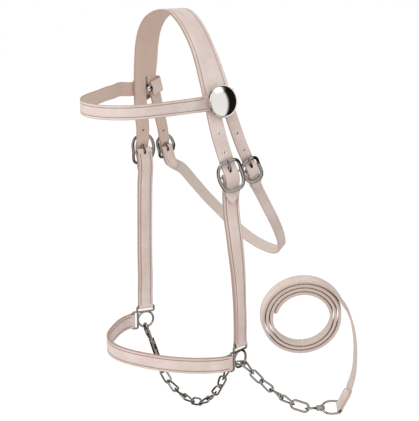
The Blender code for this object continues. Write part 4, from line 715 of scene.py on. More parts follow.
def tube(path: Array, radii: Array | float, normal: Array, closed: bool = False,
         sides: int = 16, flat: float = 1.0) -> Array:
    """The surface of a wire: P + r (cos v * a + flat * sin v * n), with v round the wire.

    Args:
        path: Centre line, one row per station.
        radii: Radius at each station, or one for all.
        normal: A direction, or one per station, that is nowhere along the path.
        closed: Whether the path's end joins its start.
        sides: Points round the wire.
        flat: Thickness along the normal as a share of the radius.

    Returns:
        Stations by sides by three.
    """
    path = np.asarray(path, float)
    if closed:
        along = unit(np.roll(path, -1, axis=0) - np.roll(path, 1, axis=0))
    else:
        along = unit(np.gradient(path, axis=0))
    lift = square_to(np.broadcast_to(normal, path.shape), along)
    across = np.cross(along, lift)
    v = np.linspace(0.0, 2 * math.pi, sides, endpoint=False)
    r = np.broadcast_to(radii, len(path))[:, None, None]
    ring = np.cos(v)[None, :, None] * across[:, None] + flat * np.sin(v)[None, :, None] * lift[:, None]
    return path[:, None] + r * ring


def capped(path: Array, radii: Array | float, depth: float = 1.0) -> tuple[Array, Array]:
    """A path and its radii with round ends: stations at r sin u past each end, of radius r cos u.

    Args:
        path: Points of the wire's line.
        radii: One radius, or one for each point.
        depth: How deep the ends are, as a share of their radius.

    Returns:
        The longer path, and a radius for each of its points.
    """
    path = np.asarray(path, float)
    radii = np.broadcast_to(np.asarray(radii, float), len(path))
    u = np.radians((28.0, 55.0, 75.0, 89.0))
    start, end = unit(path[0] - path[1]), unit(path[-1] - path[-2])
    before = path[0] + start * (radii[0] * depth * np.sin(u))[::-1, None]
    after = path[-1] + end * (radii[-1] * depth * np.sin(u))[:, None]
    return (np.concatenate((before, path, after)),
            np.concatenate(((radii[0] * np.cos(u))[::-1], radii, radii[-1] * np.cos(u))))


def add_rod(shell: Shell, path: Array, radii: Array | float, normal: Array, sides: int = 16,
            depth: float = 1.0, flat: float = 1.0) -> None:
    """Add a wire with round ends to a shell, closed at both ends."""
    line, sizes = capped(path, radii, depth)
    shell.solid(tube(line, sizes, normal, False, sides, flat))


def turned(profile: Table, segments: int = 48) -> Array:
    """A profile of (radius, height) turned about the third axis: (r cos v, r sin v, h).

    Args:
        profile: Pairs of radius and height, in millimetres.
        segments: Steps round the axis.

    Returns:
        Points in metres, a row of them for each pair.
    """
    rows = np.array(profile, float) * MM
    v = np.linspace(0.0, 2 * math.pi, segments, endpoint=False)
    radius, height = rows[:, 0][:, None], rows[:, 1][:, None]
    height = np.broadcast_to(height, (len(rows), segments))
    return np.stack((radius * np.cos(v), radius * np.sin(v), height), axis=-1)


def soft_profile(profile: Table, radius: float, steps: int = 3) -> list[tuple[float, float]]:
    """A turned profile with its corners rounded by short quadratic curves.

    Args:
        profile: Corners as (radius, height) in millimetres.
        radius: How far from a corner its rounding starts.
        steps: Points added in each rounding.

    Returns:
        The rounded profile; each corner becomes (1-t)2 a + 2t(1-t) c + t2 b.
    """
    corners = np.array(profile, float)
    rounded = [tuple(corners[0])]
    for before, corner, after in zip(corners[:-2], corners[1:-1], corners[2:]):
        reach_in = min(radius, 0.45 * float(np.linalg.norm(before - corner)))
        reach_out = min(radius, 0.45 * float(np.linalg.norm(after - corner)))
        start = corner + unit(before - corner) * reach_in
        end = corner + unit(after - corner) * reach_out
        t = np.linspace(0.0, 1.0, steps + 2)[:, None]
        rounded += [tuple(row) for row in (1 - t) ** 2 * start + 2 * t * (1 - t) * corner + t ** 2 * end]
    return rounded + [tuple(corners[-1])]


# Finishes


def linear(colour: str, alpha: float = 1.0) -> tuple[float, float, float, float]:
    """An sRGB hex colour as linear values: c/12.92 below 0.04045, else ((c+0.055)/1.055)^2.4.

    Args:
        colour: Six hex digits.
        alpha: Its opacity.

    Returns:
        Red, green, blue and alpha.
    """
    values = np.array([int(colour[k:k + 2], 16) for k in (0, 2, 4)]) / 255
    low = values / 12.92
    high = ((values + 0.055) / 1.055) ** 2.4
    red, green, blue = np.where(values <= 0.04045, low, high)
    return float(red), float(green), float(blue), alpha


def add_node(tree: Tree, kind: str, settings: dict | None = None,
             sockets: dict | None = None) -> bpy.types.Node:
    """Add a node, set its properties and fill its sockets.

    Args:
        tree: The material's or world's node tree.
        kind: The node's type name without the leading ShaderNode.
        settings: Property values by name.
        sockets: Values by socket name or number; an output socket is linked.

    Returns:
        The new node.
    """
    node = tree.nodes.new("ShaderNode" + kind)
    for name, value in (settings or {}).items():
        setattr(node, name, value)
    for key, value in (sockets or {}).items():
        if isinstance(value, Socket):
            tree.links.new(value, node.inputs[key])
        else:
            node.inputs[key].default_value = value
    return node


def maths(tree: Tree, operation: str, *values: object) -> Socket:
    """The result of a math node on values or sockets."""
    return add_node(tree, "Math", {"operation": operation}, dict(enumerate(values))).outputs[0]


def smooth_step(tree: Tree, value: Socket, low: float, high: float,
                first: float = 0.0, last: float = 1.0) -> Socket:
    """A value eased from first to last while it runs from low to high."""
    return add_node(tree, "MapRange", {"interpolation_type": "SMOOTHSTEP"}, {
        0: value, 1: low, 2: high, 3: first, 4: last}).outputs[0]


def blend(tree: Tree, share: object, first: object, second: object) -> Socket:
    """A colour mixed from two, by the second one's share."""
    return add_node(tree, "Mix", {"data_type": "RGBA"}, {0: share, 6: first, 7: second}).outputs[2]


def blank_material(name: str) -> tuple[Finish, Tree, bpy.types.Node]:
    """A material, its node tree and its output node.

    Args:
        name: Its name.

    Returns:
        The three of them, with nothing else in the tree.
    """
    material = bpy.data.materials.new(name)
    material.use_nodes = True
    tree = material.node_tree
    tree.nodes.clear()
    return material, tree, tree.nodes.new("ShaderNodeOutputMaterial")


@dataclass(frozen=True)
class RussetLeather:
    """Vegetable-tanned cattle leather: smooth grain face, fibrous flesh face, burnished edges.

    The eye sees a pale, slightly pink tan with a soft wax gloss, fine pores, a darker
    creased line where the hot tool ran, and a flesh face that is browner and matt.
    """

    name: str
    grain: str = "E7D8D2"
    grain_deep: str = "DCC8BF"
    flesh: str = "CDB3A3"
    flesh_pale: str = "DAC5B8"
    edge: str = "AE9080"
    crease: str = "99796A"
    # Colour painted on punched hole walls as shade inside the hole
    painted_hole_shade: str = "4E392F"
    crease_at_mm: float = 4.5
    crease_width_mm: float = 1.1
    pore_mm: float = 0.75
    fibre_mm: float = 0.9
    cloud_mm: float = 34.0
    roughness: float = 0.46

    def build(self) -> Finish:
        """The material, from the strap's run, section and work maps and Object coordinates.

        Returns:
            The material with its nodes.
        """
        material, tree, output = blank_material(self.name)
        place = add_node(tree, "TexCoord").outputs["Object"]
        run = add_node(tree, "UVMap", {"uv_map": "run"}).outputs["UV"]
        section, work = (add_node(tree, "SeparateXYZ", sockets={
            0: add_node(tree, "UVMap", {"uv_map": name}).outputs["UV"]}) for name in ("section", "work"))
        inset, face = section.outputs["X"], section.outputs["Y"]
        clouds = add_node(tree, "TexNoise", sockets={
            "Vector": place, "Scale": 1 / (self.cloud_mm * MM), "Detail": 4.0, "Roughness": 0.6})
        # Pores are drawn about twice life size, so that they show in a close view
        pores = add_node(tree, "TexVoronoi", {"feature": "DISTANCE_TO_EDGE"}, {
            "Vector": place, "Scale": 1 / (self.pore_mm * MM), "Randomness": 0.9})
        stretch = add_node(tree, "Mapping", sockets={
            "Vector": run, "Scale": (1 / (7.0 * MM), 1 / (1.6 * MM), 1.0)})
        pull = add_node(tree, "TexNoise", {"noise_dimensions": "2D"}, {
            "Vector": stretch.outputs["Vector"], "Scale": 1.0, "Detail": 5.0, "Roughness": 0.55})
        fibre = add_node(tree, "TexNoise", sockets={
            "Vector": place, "Scale": 1 / (self.fibre_mm * MM), "Detail": 3.0, "Roughness": 0.7})

        cloud_share = smooth_step(tree, clouds.outputs[0], 0.32, 0.68)
        streak = smooth_step(tree, pull.outputs[0], 0.36, 0.70, 0.0, 0.55)
        pit = smooth_step(tree, pores.outputs[0], 0.0, 0.16, 0.05, 0.0)
        nap = smooth_step(tree, fibre.outputs[0], 0.35, 0.68)
        grain = blend(tree, cloud_share, linear(self.grain), linear(self.grain_deep))
        grain = blend(tree, streak, grain, linear(self.grain_deep))
        grain = blend(tree, pit, grain, linear(self.edge))
        flesh = blend(tree, nap, linear(self.flesh), linear(self.flesh_pale))
        colour = blend(tree, face, flesh, grain)
        # The crease is a dark line a set way in from each edge, on the grain face alone
        half = self.crease_width_mm * MM / 2
        beside = maths(tree, "ABSOLUTE", maths(tree, "SUBTRACT", inset, self.crease_at_mm * MM))
        line = smooth_step(tree, beside, half * 0.35, half * 1.5, 0.85, 0.0)
        line = maths(tree, "MULTIPLY", maths(tree, "MULTIPLY", line, work.outputs["X"]), face)
        colour = blend(tree, line, colour, linear(self.crease))
        # The edge is darkened by burnishing, more in some places than in others
        ragged = maths(tree, "MULTIPLY_ADD", fibre.outputs[0], -0.7 * MM, inset)
        border = smooth_step(tree, ragged, -0.2 * MM, 0.6 * MM, 0.9, 0.0)
        colour = blend(tree, border, colour, linear(self.edge))
        # Painted shade: a punched hole's wall is coloured dark, standing for the shade inside the hole
        hole_shade_share = maths(tree, "MULTIPLY", work.outputs["Y"], 0.9)
        colour = blend(tree, hole_shade_share, colour, linear(self.painted_hole_shade))
        waxed = maths(tree, "MULTIPLY_ADD", clouds.outputs[0], 0.10, self.roughness - 0.05)
        rough = add_node(tree, "Mix", {"data_type": "FLOAT"}, {0: face, 2: 0.86, 3: waxed}).outputs[0]
        cells = maths(tree, "MULTIPLY", smooth_step(tree, pores.outputs[0], 0.0, 0.22), face)
        raised = maths(tree, "MULTIPLY_ADD", pull.outputs[0], 0.8, cells)
        fuzz = maths(tree, "MULTIPLY", maths(tree, "SUBTRACT", 1.0, face), fibre.outputs[0])
        height = maths(tree, "MULTIPLY_ADD", fuzz, 1.6, raised)
        bump = add_node(tree, "Bump", sockets={"Height": height, "Strength": 0.45, "Distance": 0.06 * MM})
        surface = add_node(tree, "BsdfPrincipled", sockets={
            "Base Color": colour, "Roughness": rough, "Normal": bump.outputs[0], "IOR": 1.5,
            "Specular IOR Level": 0.42, "Sheen Weight": 0.08, "Sheen Roughness": 0.5})
        tree.links.new(surface.outputs[0], output.inputs[0])
        return material


@dataclass(frozen=True)
class NickelPlate:
    """Bright nickel on brass or steel, polished and lightly handled.

    The eye sees a nearly white, slightly warm mirror, with faint cloudy smears and hair
    scratches that soften its reflections a little.
    """

    name: str
    # The default tint is darker than nickel's own: painted shade standing for the dark surroundings that the
    # metal mirrors
    tint: str = "A09A94"
    roughness: float = 0.09
    smear: float = 0.10
    scratch_mm: float = 0.6
    dimple: float = 0.0

    def build(self) -> Finish:
        """The material, from Object coordinates.

        Returns:
            The material with its nodes.
        """
        material, tree, output = blank_material(self.name)
        place = add_node(tree, "TexCoord").outputs["Object"]
        smear = add_node(tree, "TexNoise", sockets={
            "Vector": place, "Scale": 1 / (9.0 * MM), "Detail": 5.0, "Roughness": 0.65})
        stretch = add_node(tree, "Mapping", sockets={
            "Vector": place, "Rotation": (0.4, 0.2, 0.9),
            "Scale": (1 / (self.scratch_mm * MM), 1 / (14.0 * MM), 1 / (14.0 * MM))})
        scratch = add_node(tree, "TexNoise", sockets={
            "Vector": stretch.outputs[0], "Scale": 1.0, "Detail": 2.0, "Roughness": 0.5})
        rough = add_node(tree, "MapRange", sockets={
            "Value": smear.outputs[0], "From Min": 0.35, "From Max": 0.75,
            "To Min": self.roughness, "To Max": self.roughness + self.smear})
        bump = add_node(tree, "Bump", sockets={
            "Height": scratch.outputs[0], "Strength": 0.18, "Distance": 0.02 * MM})
        normal = bump.outputs[0]
        if self.dimple:
            lumps = add_node(tree, "TexNoise", sockets={
                "Vector": place, "Scale": 1 / (3.0 * MM), "Detail": 1.0})
            normal = add_node(tree, "Bump", sockets={
                "Height": lumps.outputs[0], "Strength": 0.5, "Distance": self.dimple * MM,
                "Normal": normal}).outputs[0]
        surface = add_node(tree, "BsdfPrincipled", sockets={
            "Base Color": linear(self.tint), "Metallic": 1.0, "Roughness": rough.outputs[0],
            "Normal": normal})
        tree.links.new(surface.outputs[0], output.inputs[0])
        return material


@dataclass(frozen=True)
class WaxedThread:
    """Twisted linen thread, waxed and pressed into the leather: matt, a little darker than it."""

    name: str
    light: str = "BFA291"
    # Colour of the grooves between the plies, darker as painted shade
    dark: str = "8A6A59"
    ply_mm: float = 0.5

    def build(self) -> Finish:
        """The material, from Object coordinates.

        Returns:
            The material with its nodes.
        """
        material, tree, output = blank_material(self.name)
        place = add_node(tree, "TexCoord").outputs["Object"]
        ply = add_node(tree, "TexWave", {"bands_direction": "DIAGONAL"}, {
            "Vector": place, "Scale": 0.3 / (self.ply_mm * MM), "Distortion": 1.0, "Detail": 1.0})
        # Painted shade: the thread is darker in the grooves between its plies, along the same waves that
        # raise its bump
        colour = blend(tree, ply.outputs[1], linear(self.dark), linear(self.light))
        bump = add_node(tree, "Bump", sockets={
            "Height": ply.outputs[1], "Strength": 0.6, "Distance": 0.1 * MM})
        surface = add_node(tree, "BsdfPrincipled", sockets={
            "Base Color": colour, "Roughness": 0.66, "Normal": bump.outputs[0]})
        tree.links.new(surface.outputs[0], output.inputs[0])
        return material


class Studio:
    """The room round the halter: camera, soft lights, pale floor, and dark cards for the metal."""

    CAMERA_PLACE = (1.163, -0.912, 0.1068)
    CAMERA_TURN = (75.69, 0.0, 50.0)
    LENS_MM = 95.46
    SENSOR_MM = 36.0
    FLOOR_HEIGHT = -1.05
    TENT_MIDDLE = (0.05, 0.0, -0.27)
    TENT_RADIUS = 0.74

    def set_camera(self) -> None:
        """The camera at the photograph's angle and distance, without shift."""
        data = bpy.data.cameras.new("camera")
        data.lens = self.LENS_MM
        data.sensor_fit = "HORIZONTAL"
        data.sensor_width = self.SENSOR_MM
        data.clip_start = 0.01
        camera = bpy.data.objects.new("camera", data)
        camera.location = self.CAMERA_PLACE
        camera.rotation_euler = [math.radians(angle) for angle in self.CAMERA_TURN]
        bpy.context.scene.collection.objects.link(camera)
        bpy.context.scene.camera = camera

    def set_view(self) -> None:
        """Plain display colours."""
        bpy.context.scene.view_settings.view_transform = "Standard"

    @staticmethod
    def seen(tree: Tree) -> Socket:
        """One where a surface is seen, mirrored or seen through glass, and zero where it only lights.

        Args:
            tree: Where the nodes go.

        Returns:
            The socket with that value.
        """
        path = add_node(tree, "LightPath")
        direct = maths(tree, "MAXIMUM", path.outputs["Is Camera Ray"], path.outputs["Is Glossy Ray"])
        return maths(tree, "MAXIMUM", direct, path.outputs["Is Transmission Ray"])

    def set_world(self, level: float = 0.80) -> None:
        """A white room: dim enough to leave the lamps their shape, white where it is seen or mirrored.

        Args:
            level: How brightly the room lights the leather.
        """
        world = bpy.data.worlds.new("white room")
        world.use_nodes = True
        tree = world.node_tree
        tree.nodes.clear()
        strength = add_node(tree, "MapRange", sockets={0: self.seen(tree), 3: level, 4: 1.0})
        back = add_node(tree, "Background", sockets={"Color": (1, 1, 1, 1), "Strength": strength.outputs[0]})
        tree.links.new(back.outputs[0], tree.nodes.new("ShaderNodeOutputWorld").inputs[0])
        bpy.context.scene.world = world

    def add_light(self, name: str, place: tuple, aim: tuple, size: tuple, power: float) -> None:
        """A rectangular soft lamp.

        Args:
            name: The lamp's name.
            place: Where it stands, in metres.
            aim: What it points at.
            size: Its width and height.
            power: Its watts.
        """
        data = bpy.data.lights.new(name, "AREA")
        data.shape = "RECTANGLE"
        data.size, data.size_y = size
        data.energy = power
        lamp = bpy.data.objects.new(name, data)
        lamp.location = place
        lamp.rotation_euler = (Vector(aim) - Vector(place)).to_track_quat("-Z", "Y").to_euler()
        bpy.context.scene.collection.objects.link(lamp)

    def add_floor(self) -> None:
        """A pale floor below the hanging halter; it keeps the halter's soft shadow."""
        shell = Shell()
        x = np.linspace(-6.0, 6.0, 5)
        grid = np.stack(np.meshgrid(x, x, [self.FLOOR_HEIGHT], indexing="ij"), axis=-1)[:, :, 0]
        shell.grid(grid, around=False)
        material, tree, output = blank_material("matt white studio floor paint")
        share = add_node(tree, "MapRange", sockets={0: self.seen(tree), 3: 0.0, 4: 0.86})
        paint = add_node(tree, "BsdfDiffuse", sockets={"Color": linear("F4F4F4")})
        glow = add_node(tree, "Emission", sockets={"Color": (1, 1, 1, 1), "Strength": 1.08})
        mix = add_node(tree, "MixShader", sockets={
            0: share.outputs[0], 1: paint.outputs[0], 2: glow.outputs[0]})
        tree.links.new(mix.outputs[0], output.inputs[0])
        floor = shell.piece("studio_floor", material)

    def add_flags(self, flags: Sequence[tuple]) -> None:
        """Black flags round the halter, parts of a ball, which only the metal sees; they draw its dark lines.

        Args:
            flags: For each its first and last azimuth and its lowest and highest elevation, in degrees.
        """
        material, tree, output = blank_material("black studio flag cloth, thinning out at its edges")
        run = add_node(tree, "UVMap", {"uv_map": "run"}).outputs["UV"]
        place = add_node(tree, "SeparateXYZ", sockets={0: run})
        fades = [smooth_step(tree, maths(tree, "PINGPONG", place.outputs[axis], 0.5), 0.0, 0.16)
                 for axis in "XY"]
        cover = maths(tree, "MULTIPLY", *fades)
        cloth = add_node(tree, "BsdfDiffuse", sockets={"Color": linear("1C1A19")})
        clear = add_node(tree, "BsdfTransparent")
        mix = add_node(tree, "MixShader", sockets={0: cover, 1: clear.outputs[0], 2: cloth.outputs[0]})
        tree.links.new(mix.outputs[0], output.inputs[0])
        for number, (first, last, low, high) in enumerate(flags):
            u, v = np.meshgrid(np.linspace(0.0, 1.0, 17), np.linspace(0.0, 1.0, 9), indexing="ij")
            azimuth, height = np.radians(first + (last - first) * u), np.radians(low + (high - low) * v)
            level = np.cos(height)
            ball = np.stack((level * np.sin(azimuth), -level * np.cos(azimuth), np.sin(height)), axis=-1)
            grid = np.array(self.TENT_MIDDLE) + self.TENT_RADIUS * ball
            maps = np.zeros(grid.shape[:2] + (6,))
            maps[..., 0], maps[..., 1] = u, v
            shell = Shell(True)
            shell.grid(grid, maps, around=False)
            flag = shell.piece("studio_flag_%d" % number, material)
            flag.visible_camera = False
            flag.visible_diffuse = False
            flag.visible_shadow = False

    def build(self) -> None:
        """Set up the whole room."""
        self.set_camera()
        self.set_view()
        self.set_world()
        self.add_light("key softbox", (0.1, -1.7, 0.7), (0, 0, -0.25), (1.3, 1.3), 14.0)
        self.add_light("top softbox", (0.7, 0.2, 1.3), (0, 0, -0.2), (1.2, 1.2), 3.0)
        self.add_floor()
        self.add_flags(((112, 212, -52, 66), (294, 348, -52, 66), (110, 350, 40, 90), (110, 350, -90, -30),
                        (-36, -14, -40, 60), (26, 43, -50, 60), (-30, 40, -70, -8)))


# Leather


@dataclass(frozen=True)
class StrapCut:
    """A strap cut across: rounded edges, and a pressed line beside each edge of the grain face."""

    corner: float = 0.9 * MM
    line_at: float = 4.5 * MM
    line_width: float = 1.0 * MM
    line_depth: float = 0.0

    def corner_rows(self, angles: Point) -> list[tuple[float, ...]]:
        """Rows (inset, drop, pressed share, grain share) round a corner, from the edge to the face."""
        return [(self.corner * (1 - math.sin(turn)), self.corner * (1 - math.cos(turn)), 0.0,
                 0.5 + 0.5 * math.cos(turn) ** 0.5) for turn in np.radians(angles)]

    def line_rows(self) -> list[tuple[float, ...]]:
        """The same rows over the pressed line beside the edge."""
        shares = ((-1.6, 0.0), (-0.5, 1.0), (0.5, 1.0), (1.6, 0.0))
        return [(self.line_at + share * self.line_width / 2, 0.0, down, 1.0) for share, down in shares]

    def columns(self) -> Array:
        """The corners of the section, round it: one row each.

        Returns:
            Rows of (share of the half width, inset from that edge, which face, drop below the face,
            pressed share, grain share). A corner lies at a = share W - sign inset across and at
            face (T - drop - pressed depth) out.
        """
        near, pressed = self.corner_rows((90.0, 67.5, 45.0, 22.5, 0.0)), self.line_rows()
        flats = (-0.3, 0.0, 0.3)
        top = [(-1.0, k, 1.0, d, p, g) for k, d, p, g in near + pressed]
        top += [(f, 0.0, 1.0, 0.0, 0.0, 1.0) for f in flats]
        top += [(1.0, k, 1.0, d, p, g) for k, d, p, g in (near + pressed)[::-1]]
        under = [(1.0, k, -1.0, d, 0.0, 1.0 - g) for k, d, _, g in near]
        under += [(f, 0.0, -1.0, 0.0, 0.0, 0.0) for f in flats[::-1]]
        under += [(-1.0, k, -1.0, d, 0.0, 1.0 - g) for k, d, _, g in near[::-1]]
        return np.array(top + under)


@dataclass
class Lay:
    """How a strip of leather lies: its middle, the way across it and the way out of its grain face."""

    points: Array
    across: Array
    out: Array

    @staticmethod
    def over(route: Route, s: Array, out: Array, closed: bool = False, flip: float = 1.0) -> "Lay":
        """A strip whose middle lies at lengths s and heights out of a route's face.

        Args:
            route: The strap's route.
            s: Length along the route at each station.
            out: Height out of the route's face at each station.
            closed: Whether the last station joins the first.
            flip: -1 where the grain face lies on the other side.

        Returns:
            The strip's stations; out is along x across, times the flip.
        """
        points = route.at(s, out)
        if closed:
            along = unit(np.roll(points, -1, axis=0) - np.roll(points, 1, axis=0))
        else:
            along = unit(np.gradient(points, axis=0))
        across = square_to(route.frames(s)[2], along)
        return Lay(points, across, np.cross(along, across) * flip)

    def spread(self, across: Array, out: Array) -> Array:
        """Points at tables of distances across and out from each station: P + a A + o O."""
        return (self.points[:, None] + across[..., None] * self.across[:, None]
                + out[..., None] * self.out[:, None])

    def joined(self, other: "Lay") -> "Lay":
        """This strip with another one behind it."""
        return Lay(*(np.concatenate(pair) for pair in (
            (self.points, other.points), (self.across, other.across), (self.out, other.out))))


def strip_grid(lay: Lay, half_width: Array, half_thick: Array, cut: StrapCut, pressed: Array,
               closed: bool = False) -> tuple[Array, Array]:
    """The surface of a strip: P + a A + o O, where (a, o) runs round its section.

    Args:
        lay: The strip's stations.
        half_width: Half the width at each station.
        half_thick: Half the thickness at each station.
        cut: The section.
        pressed: How strongly the lines are pressed at each station, from 0 to 1.
        closed: Whether the strip is a loop.

    Returns:
        The grid of points, and its run, section and work maps.
    """
    share, inset, face, drop, groove, grain = cut.columns().T
    count = len(lay.points)
    wide = np.broadcast_to(half_width, count)[:, None]
    thick = np.broadcast_to(half_thick, count)[:, None]
    pressed = np.broadcast_to(pressed, count)[:, None]
    across = share * wide - np.sign(share) * inset
    out = face * (thick - drop - cut.line_depth * groove * pressed)
    points = lay.spread(across, out)
    run = run_length(lay.points)
    maps = np.zeros(points.shape[:2] + (6,))
    maps[..., 0], maps[..., 1] = run[:, None], across
    maps[..., 2], maps[..., 3] = wide - np.abs(across), grain
    maps[..., 4] = pressed
    if closed:
        last = maps[:1].copy()
        last[..., 0] = run[-1] + np.linalg.norm(lay.points[-1] - lay.points[0])
        maps = np.concatenate((maps, last))
    return points, maps


def add_strip(shell: Shell, lay: Lay, half_width: Array, half_thick: Array, cut: StrapCut, pressed: Array,
              closed: bool = False) -> Array:
    """Add a strip to a shell, with its cut ends.

    Args:
        shell: Where the strip goes.
        lay: The strip's stations.
        half_width: Half the width at each station.
        half_thick: Half the thickness at each station.
        cut: The section.
        pressed: How strongly the lines are pressed at each station, from 0 to 1.
        closed: Whether the strip is a loop.

    Returns:
        The point numbers, rows by columns.
    """
    points, maps = strip_grid(lay, half_width, half_thick, cut, pressed, closed)
    index = shell.grid(points, maps, True, closed)
    if not closed:
        for row, values in ((index[0][::-1], maps[0][::-1]), (index[-1], maps[-1])):
            values = values.copy()
            values[:, 2], values[:, 3] = 0.0, 0.5
            shell.polygon(row, values)
    return index


def steps(first: float, last: float, spacing: float) -> Array:
    """Evenly spaced values from the first to the last."""
    return np.linspace(first, last, max(2, round(abs(last - first) / spacing) + 1))


@dataclass(frozen=True)
class Fold:
    """A strap's end turned round a bar: thinned leather round the bar, then the full layer."""

    radius: float = 2.7 * MM
    half_thick: float = 0.88 * MM
    reach: float = 8.0 * MM
    half_turn: float = 100.0
    arc_steps: int = 20

    # Stations close to the bar, where the strap comes out of its turn
    CLOSE = np.array((1.0, 2.2, 3.6, 5.2)) * MM

    def arc(self) -> Array:
        """Rows (s, out) round the bar from the inner face to the outer: (-r cos a, r sin a)."""
        a = np.radians(np.linspace(-self.half_turn, self.half_turn, self.arc_steps))
        return np.column_stack((-self.radius * np.cos(a), self.radius * np.sin(a)))

    def start(self) -> float:
        """How far along the strap the turn ends."""
        return float(self.arc()[-1, 0])

    def height(self, s: Array, layer: float) -> Array:
        """Height of the layer's middle at distance s from the bar: r sin a falling to the layer's own."""
        top = float(self.arc()[-1, 1])
        return layer + (top - layer) * (1 - ease(self.start(), self.reach, s))

    def thickness(self, s: Array, full: float) -> Array:
        """Half the layer's thickness: thinned round the bar, full past the reach."""
        return self.half_thick + (full - self.half_thick) * ease(self.start(), self.reach, s)

    def tail(self, sewn: float, layer: float) -> tuple[Array, Array, Array]:
        """The tail sewn back along a strap, thinned to its end.

        Args:
            sewn: How far it reaches.
            layer: Height of its middle.

        Returns:
            Its stations from the end to the bar, their heights and half their thickness.
        """
        s = np.concatenate((steps(sewn, 7.0 * MM, 2.4 * MM), self.CLOSE[::-1]))
        thinned = 1 - 0.6 * ease(sewn - 7 * MM, sewn, s)
        return s, self.height(s, layer), self.thickness(s, layer - 0.04 * MM) * thinned


@dataclass(frozen=True)
class Hand:
    """What carries a finished piece: the moving body and the CAD nodes that it stands for."""

    body: str
    slot: str
    nodes: tuple[str, ...] = ()

    def take(self, piece: Piece) -> Piece:
        """Tie the piece to its body, and hide the nodes it replaces.

        Args:
            piece: A finished piece.

        Returns:
            The same piece.
        """
        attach(piece, self.body)
        if self.nodes:
            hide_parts(*self.nodes)
        log.info("%s: %d faces, with %s", piece.name, len(piece.data.polygons), self.body)
        return piece


def punch(piece: Piece, cutters: Shell) -> None:
    """Cut the closed shapes of a shell out of a piece.

    Args:
        piece: The piece to cut.
        cutters: Closed shapes that don't touch each other.
    """
    tool = cutters.piece(piece.name + "_punch")
    for name in ("run", "section", "work"):
        tool.data.uv_layers.new(name=name)
    # The cut walls get work.Y = 1, which the leather paints dark as shade inside the hole
    painted_hole_shade = np.tile((0.0, 1.0), len(tool.data.loops))
    tool.data.uv_layers["work"].data.foreach_set("uv", painted_hole_shade)
    cut = piece.modifiers.new("punch", "BOOLEAN")
    cut.operation, cut.solver, cut.object = "DIFFERENCE", "EXACT", tool
    graph = bpy.context.evaluated_depsgraph_get()
    mesh = bpy.data.meshes.new_from_object(piece.evaluated_get(graph), preserve_all_data_layers=True,
                                           depsgraph=graph)
    piece.modifiers.clear()
    before = piece.data
    piece.data = mesh
    mesh.name = piece.name
    bpy.data.meshes.remove(before)
    bpy.data.objects.remove(tool)


def punch_shape(shell: Shell, middle: Array, along: Array, across: Array, half: tuple[float, float],
                slant: float = 0.0, power: float = 2.0, depth: float = 6.0 * MM) -> None:
    """Add a punch with an oval foot: m + x A + y B + z (N + slant A), |x/a|^p + |y/b|^p = 1.

    Args:
        shell: What the punch is added to.
        middle: The hole's middle.
        along: The way along the strap.
        across: The way across the strap.
        half: Half the hole's length and half its width.
        slant: How far the hole leans along the strap per unit of depth.
        power: Two for an oval, more for a slot.
        depth: How far the punch reaches each way.
    """
    v = np.linspace(0.0, 2 * math.pi, 28, endpoint=False)
    share = (np.abs(np.cos(v)) ** power + np.abs(np.sin(v)) ** power) ** (-1 / power)
    flat = (half[0] * share * np.cos(v))[:, None] * along + (half[1] * share * np.sin(v))[:, None] * across
    lean = np.cross(along, across) - along * slant
    shell.solid(np.stack((middle + flat - lean * depth, middle + flat + lean * depth)))


@dataclass(frozen=True)
class Stitching:
    """A row of saddle stitches, each a short slanted bead of thread half sunk into the leather."""

    pitch: float = 3.3 * MM
    length: float = 2.5 * MM
    radius: float = 0.36 * MM
    slant: float = 9.0
    sunk: float = 0.10 * MM

    def bead(self) -> tuple[Array, Array]:
        """One stitch's points and faces: (L/2 x, r w cos v, r w sin v) with w = (1-x2)^0.5.

        Returns:
            Its points about its middle, and the point numbers of its faces.
        """
        x = np.sin(np.radians((-80.0, -48.0, 0.0, 48.0, 80.0)))
        v = np.linspace(0.0, 2 * math.pi, 6, endpoint=False)
        w = (1 - x ** 2) ** 0.5
        round_it = self.radius * w[:, None]
        points = np.stack((np.broadcast_to(x[:, None] * self.length / 2, (5, 6)),
                           round_it * np.cos(v), round_it * np.sin(v)), axis=-1)
        index = np.arange(30).reshape(5, 6)
        table = np.hstack((index, index[:, :1]))
        quads = np.stack((table[:-1, :-1], table[1:, :-1], table[1:, 1:], table[:-1, 1:]), axis=-1)
        return points.reshape(-1, 3), quads.reshape(-1, 4)

    def sew(self, shell: Shell, route: Route, first: float, last: float, side: float, out: float,
            face: float = 1.0) -> None:
        """Add a row of stitches along a route.

        Args:
            shell: What the stitches are added to.
            route: The strap's route.
            first: Length at which the row starts.
            last: Length at which it ends.
            side: How far across the strap it runs.
            out: Height of the leather's face.
            face: 1 on the face that looks out of the route, -1 on the other.
        """
        s = np.arange(first, last, self.pitch)
        points, along, across, outward = route.frames(s)
        angle = math.radians(self.slant)
        middle = points + across * side + outward * face * (out - self.sunk)
        turned_along = along * math.cos(angle) + across * math.sin(angle)
        turned_across = across * math.cos(angle) - along * math.sin(angle)
        bead, quads = self.bead()
        frames = np.stack((turned_along, turned_across, outward * face), axis=1)
        placed = middle[:, None] + np.einsum("pk,nkc->npc", bead, frames)
        first_number = shell.add_points(placed)[0]
        offsets = first_number + np.arange(len(s)) * len(bead)
        shell.faces.extend((quads[None] + offsets[:, None, None]).reshape(-1, 4).tolist())
        caps = np.stack((np.arange(6)[::-1], np.arange(24, 30)))
        shell.faces.extend((caps[None] + offsets[:, None, None]).reshape(-1, 6).tolist())


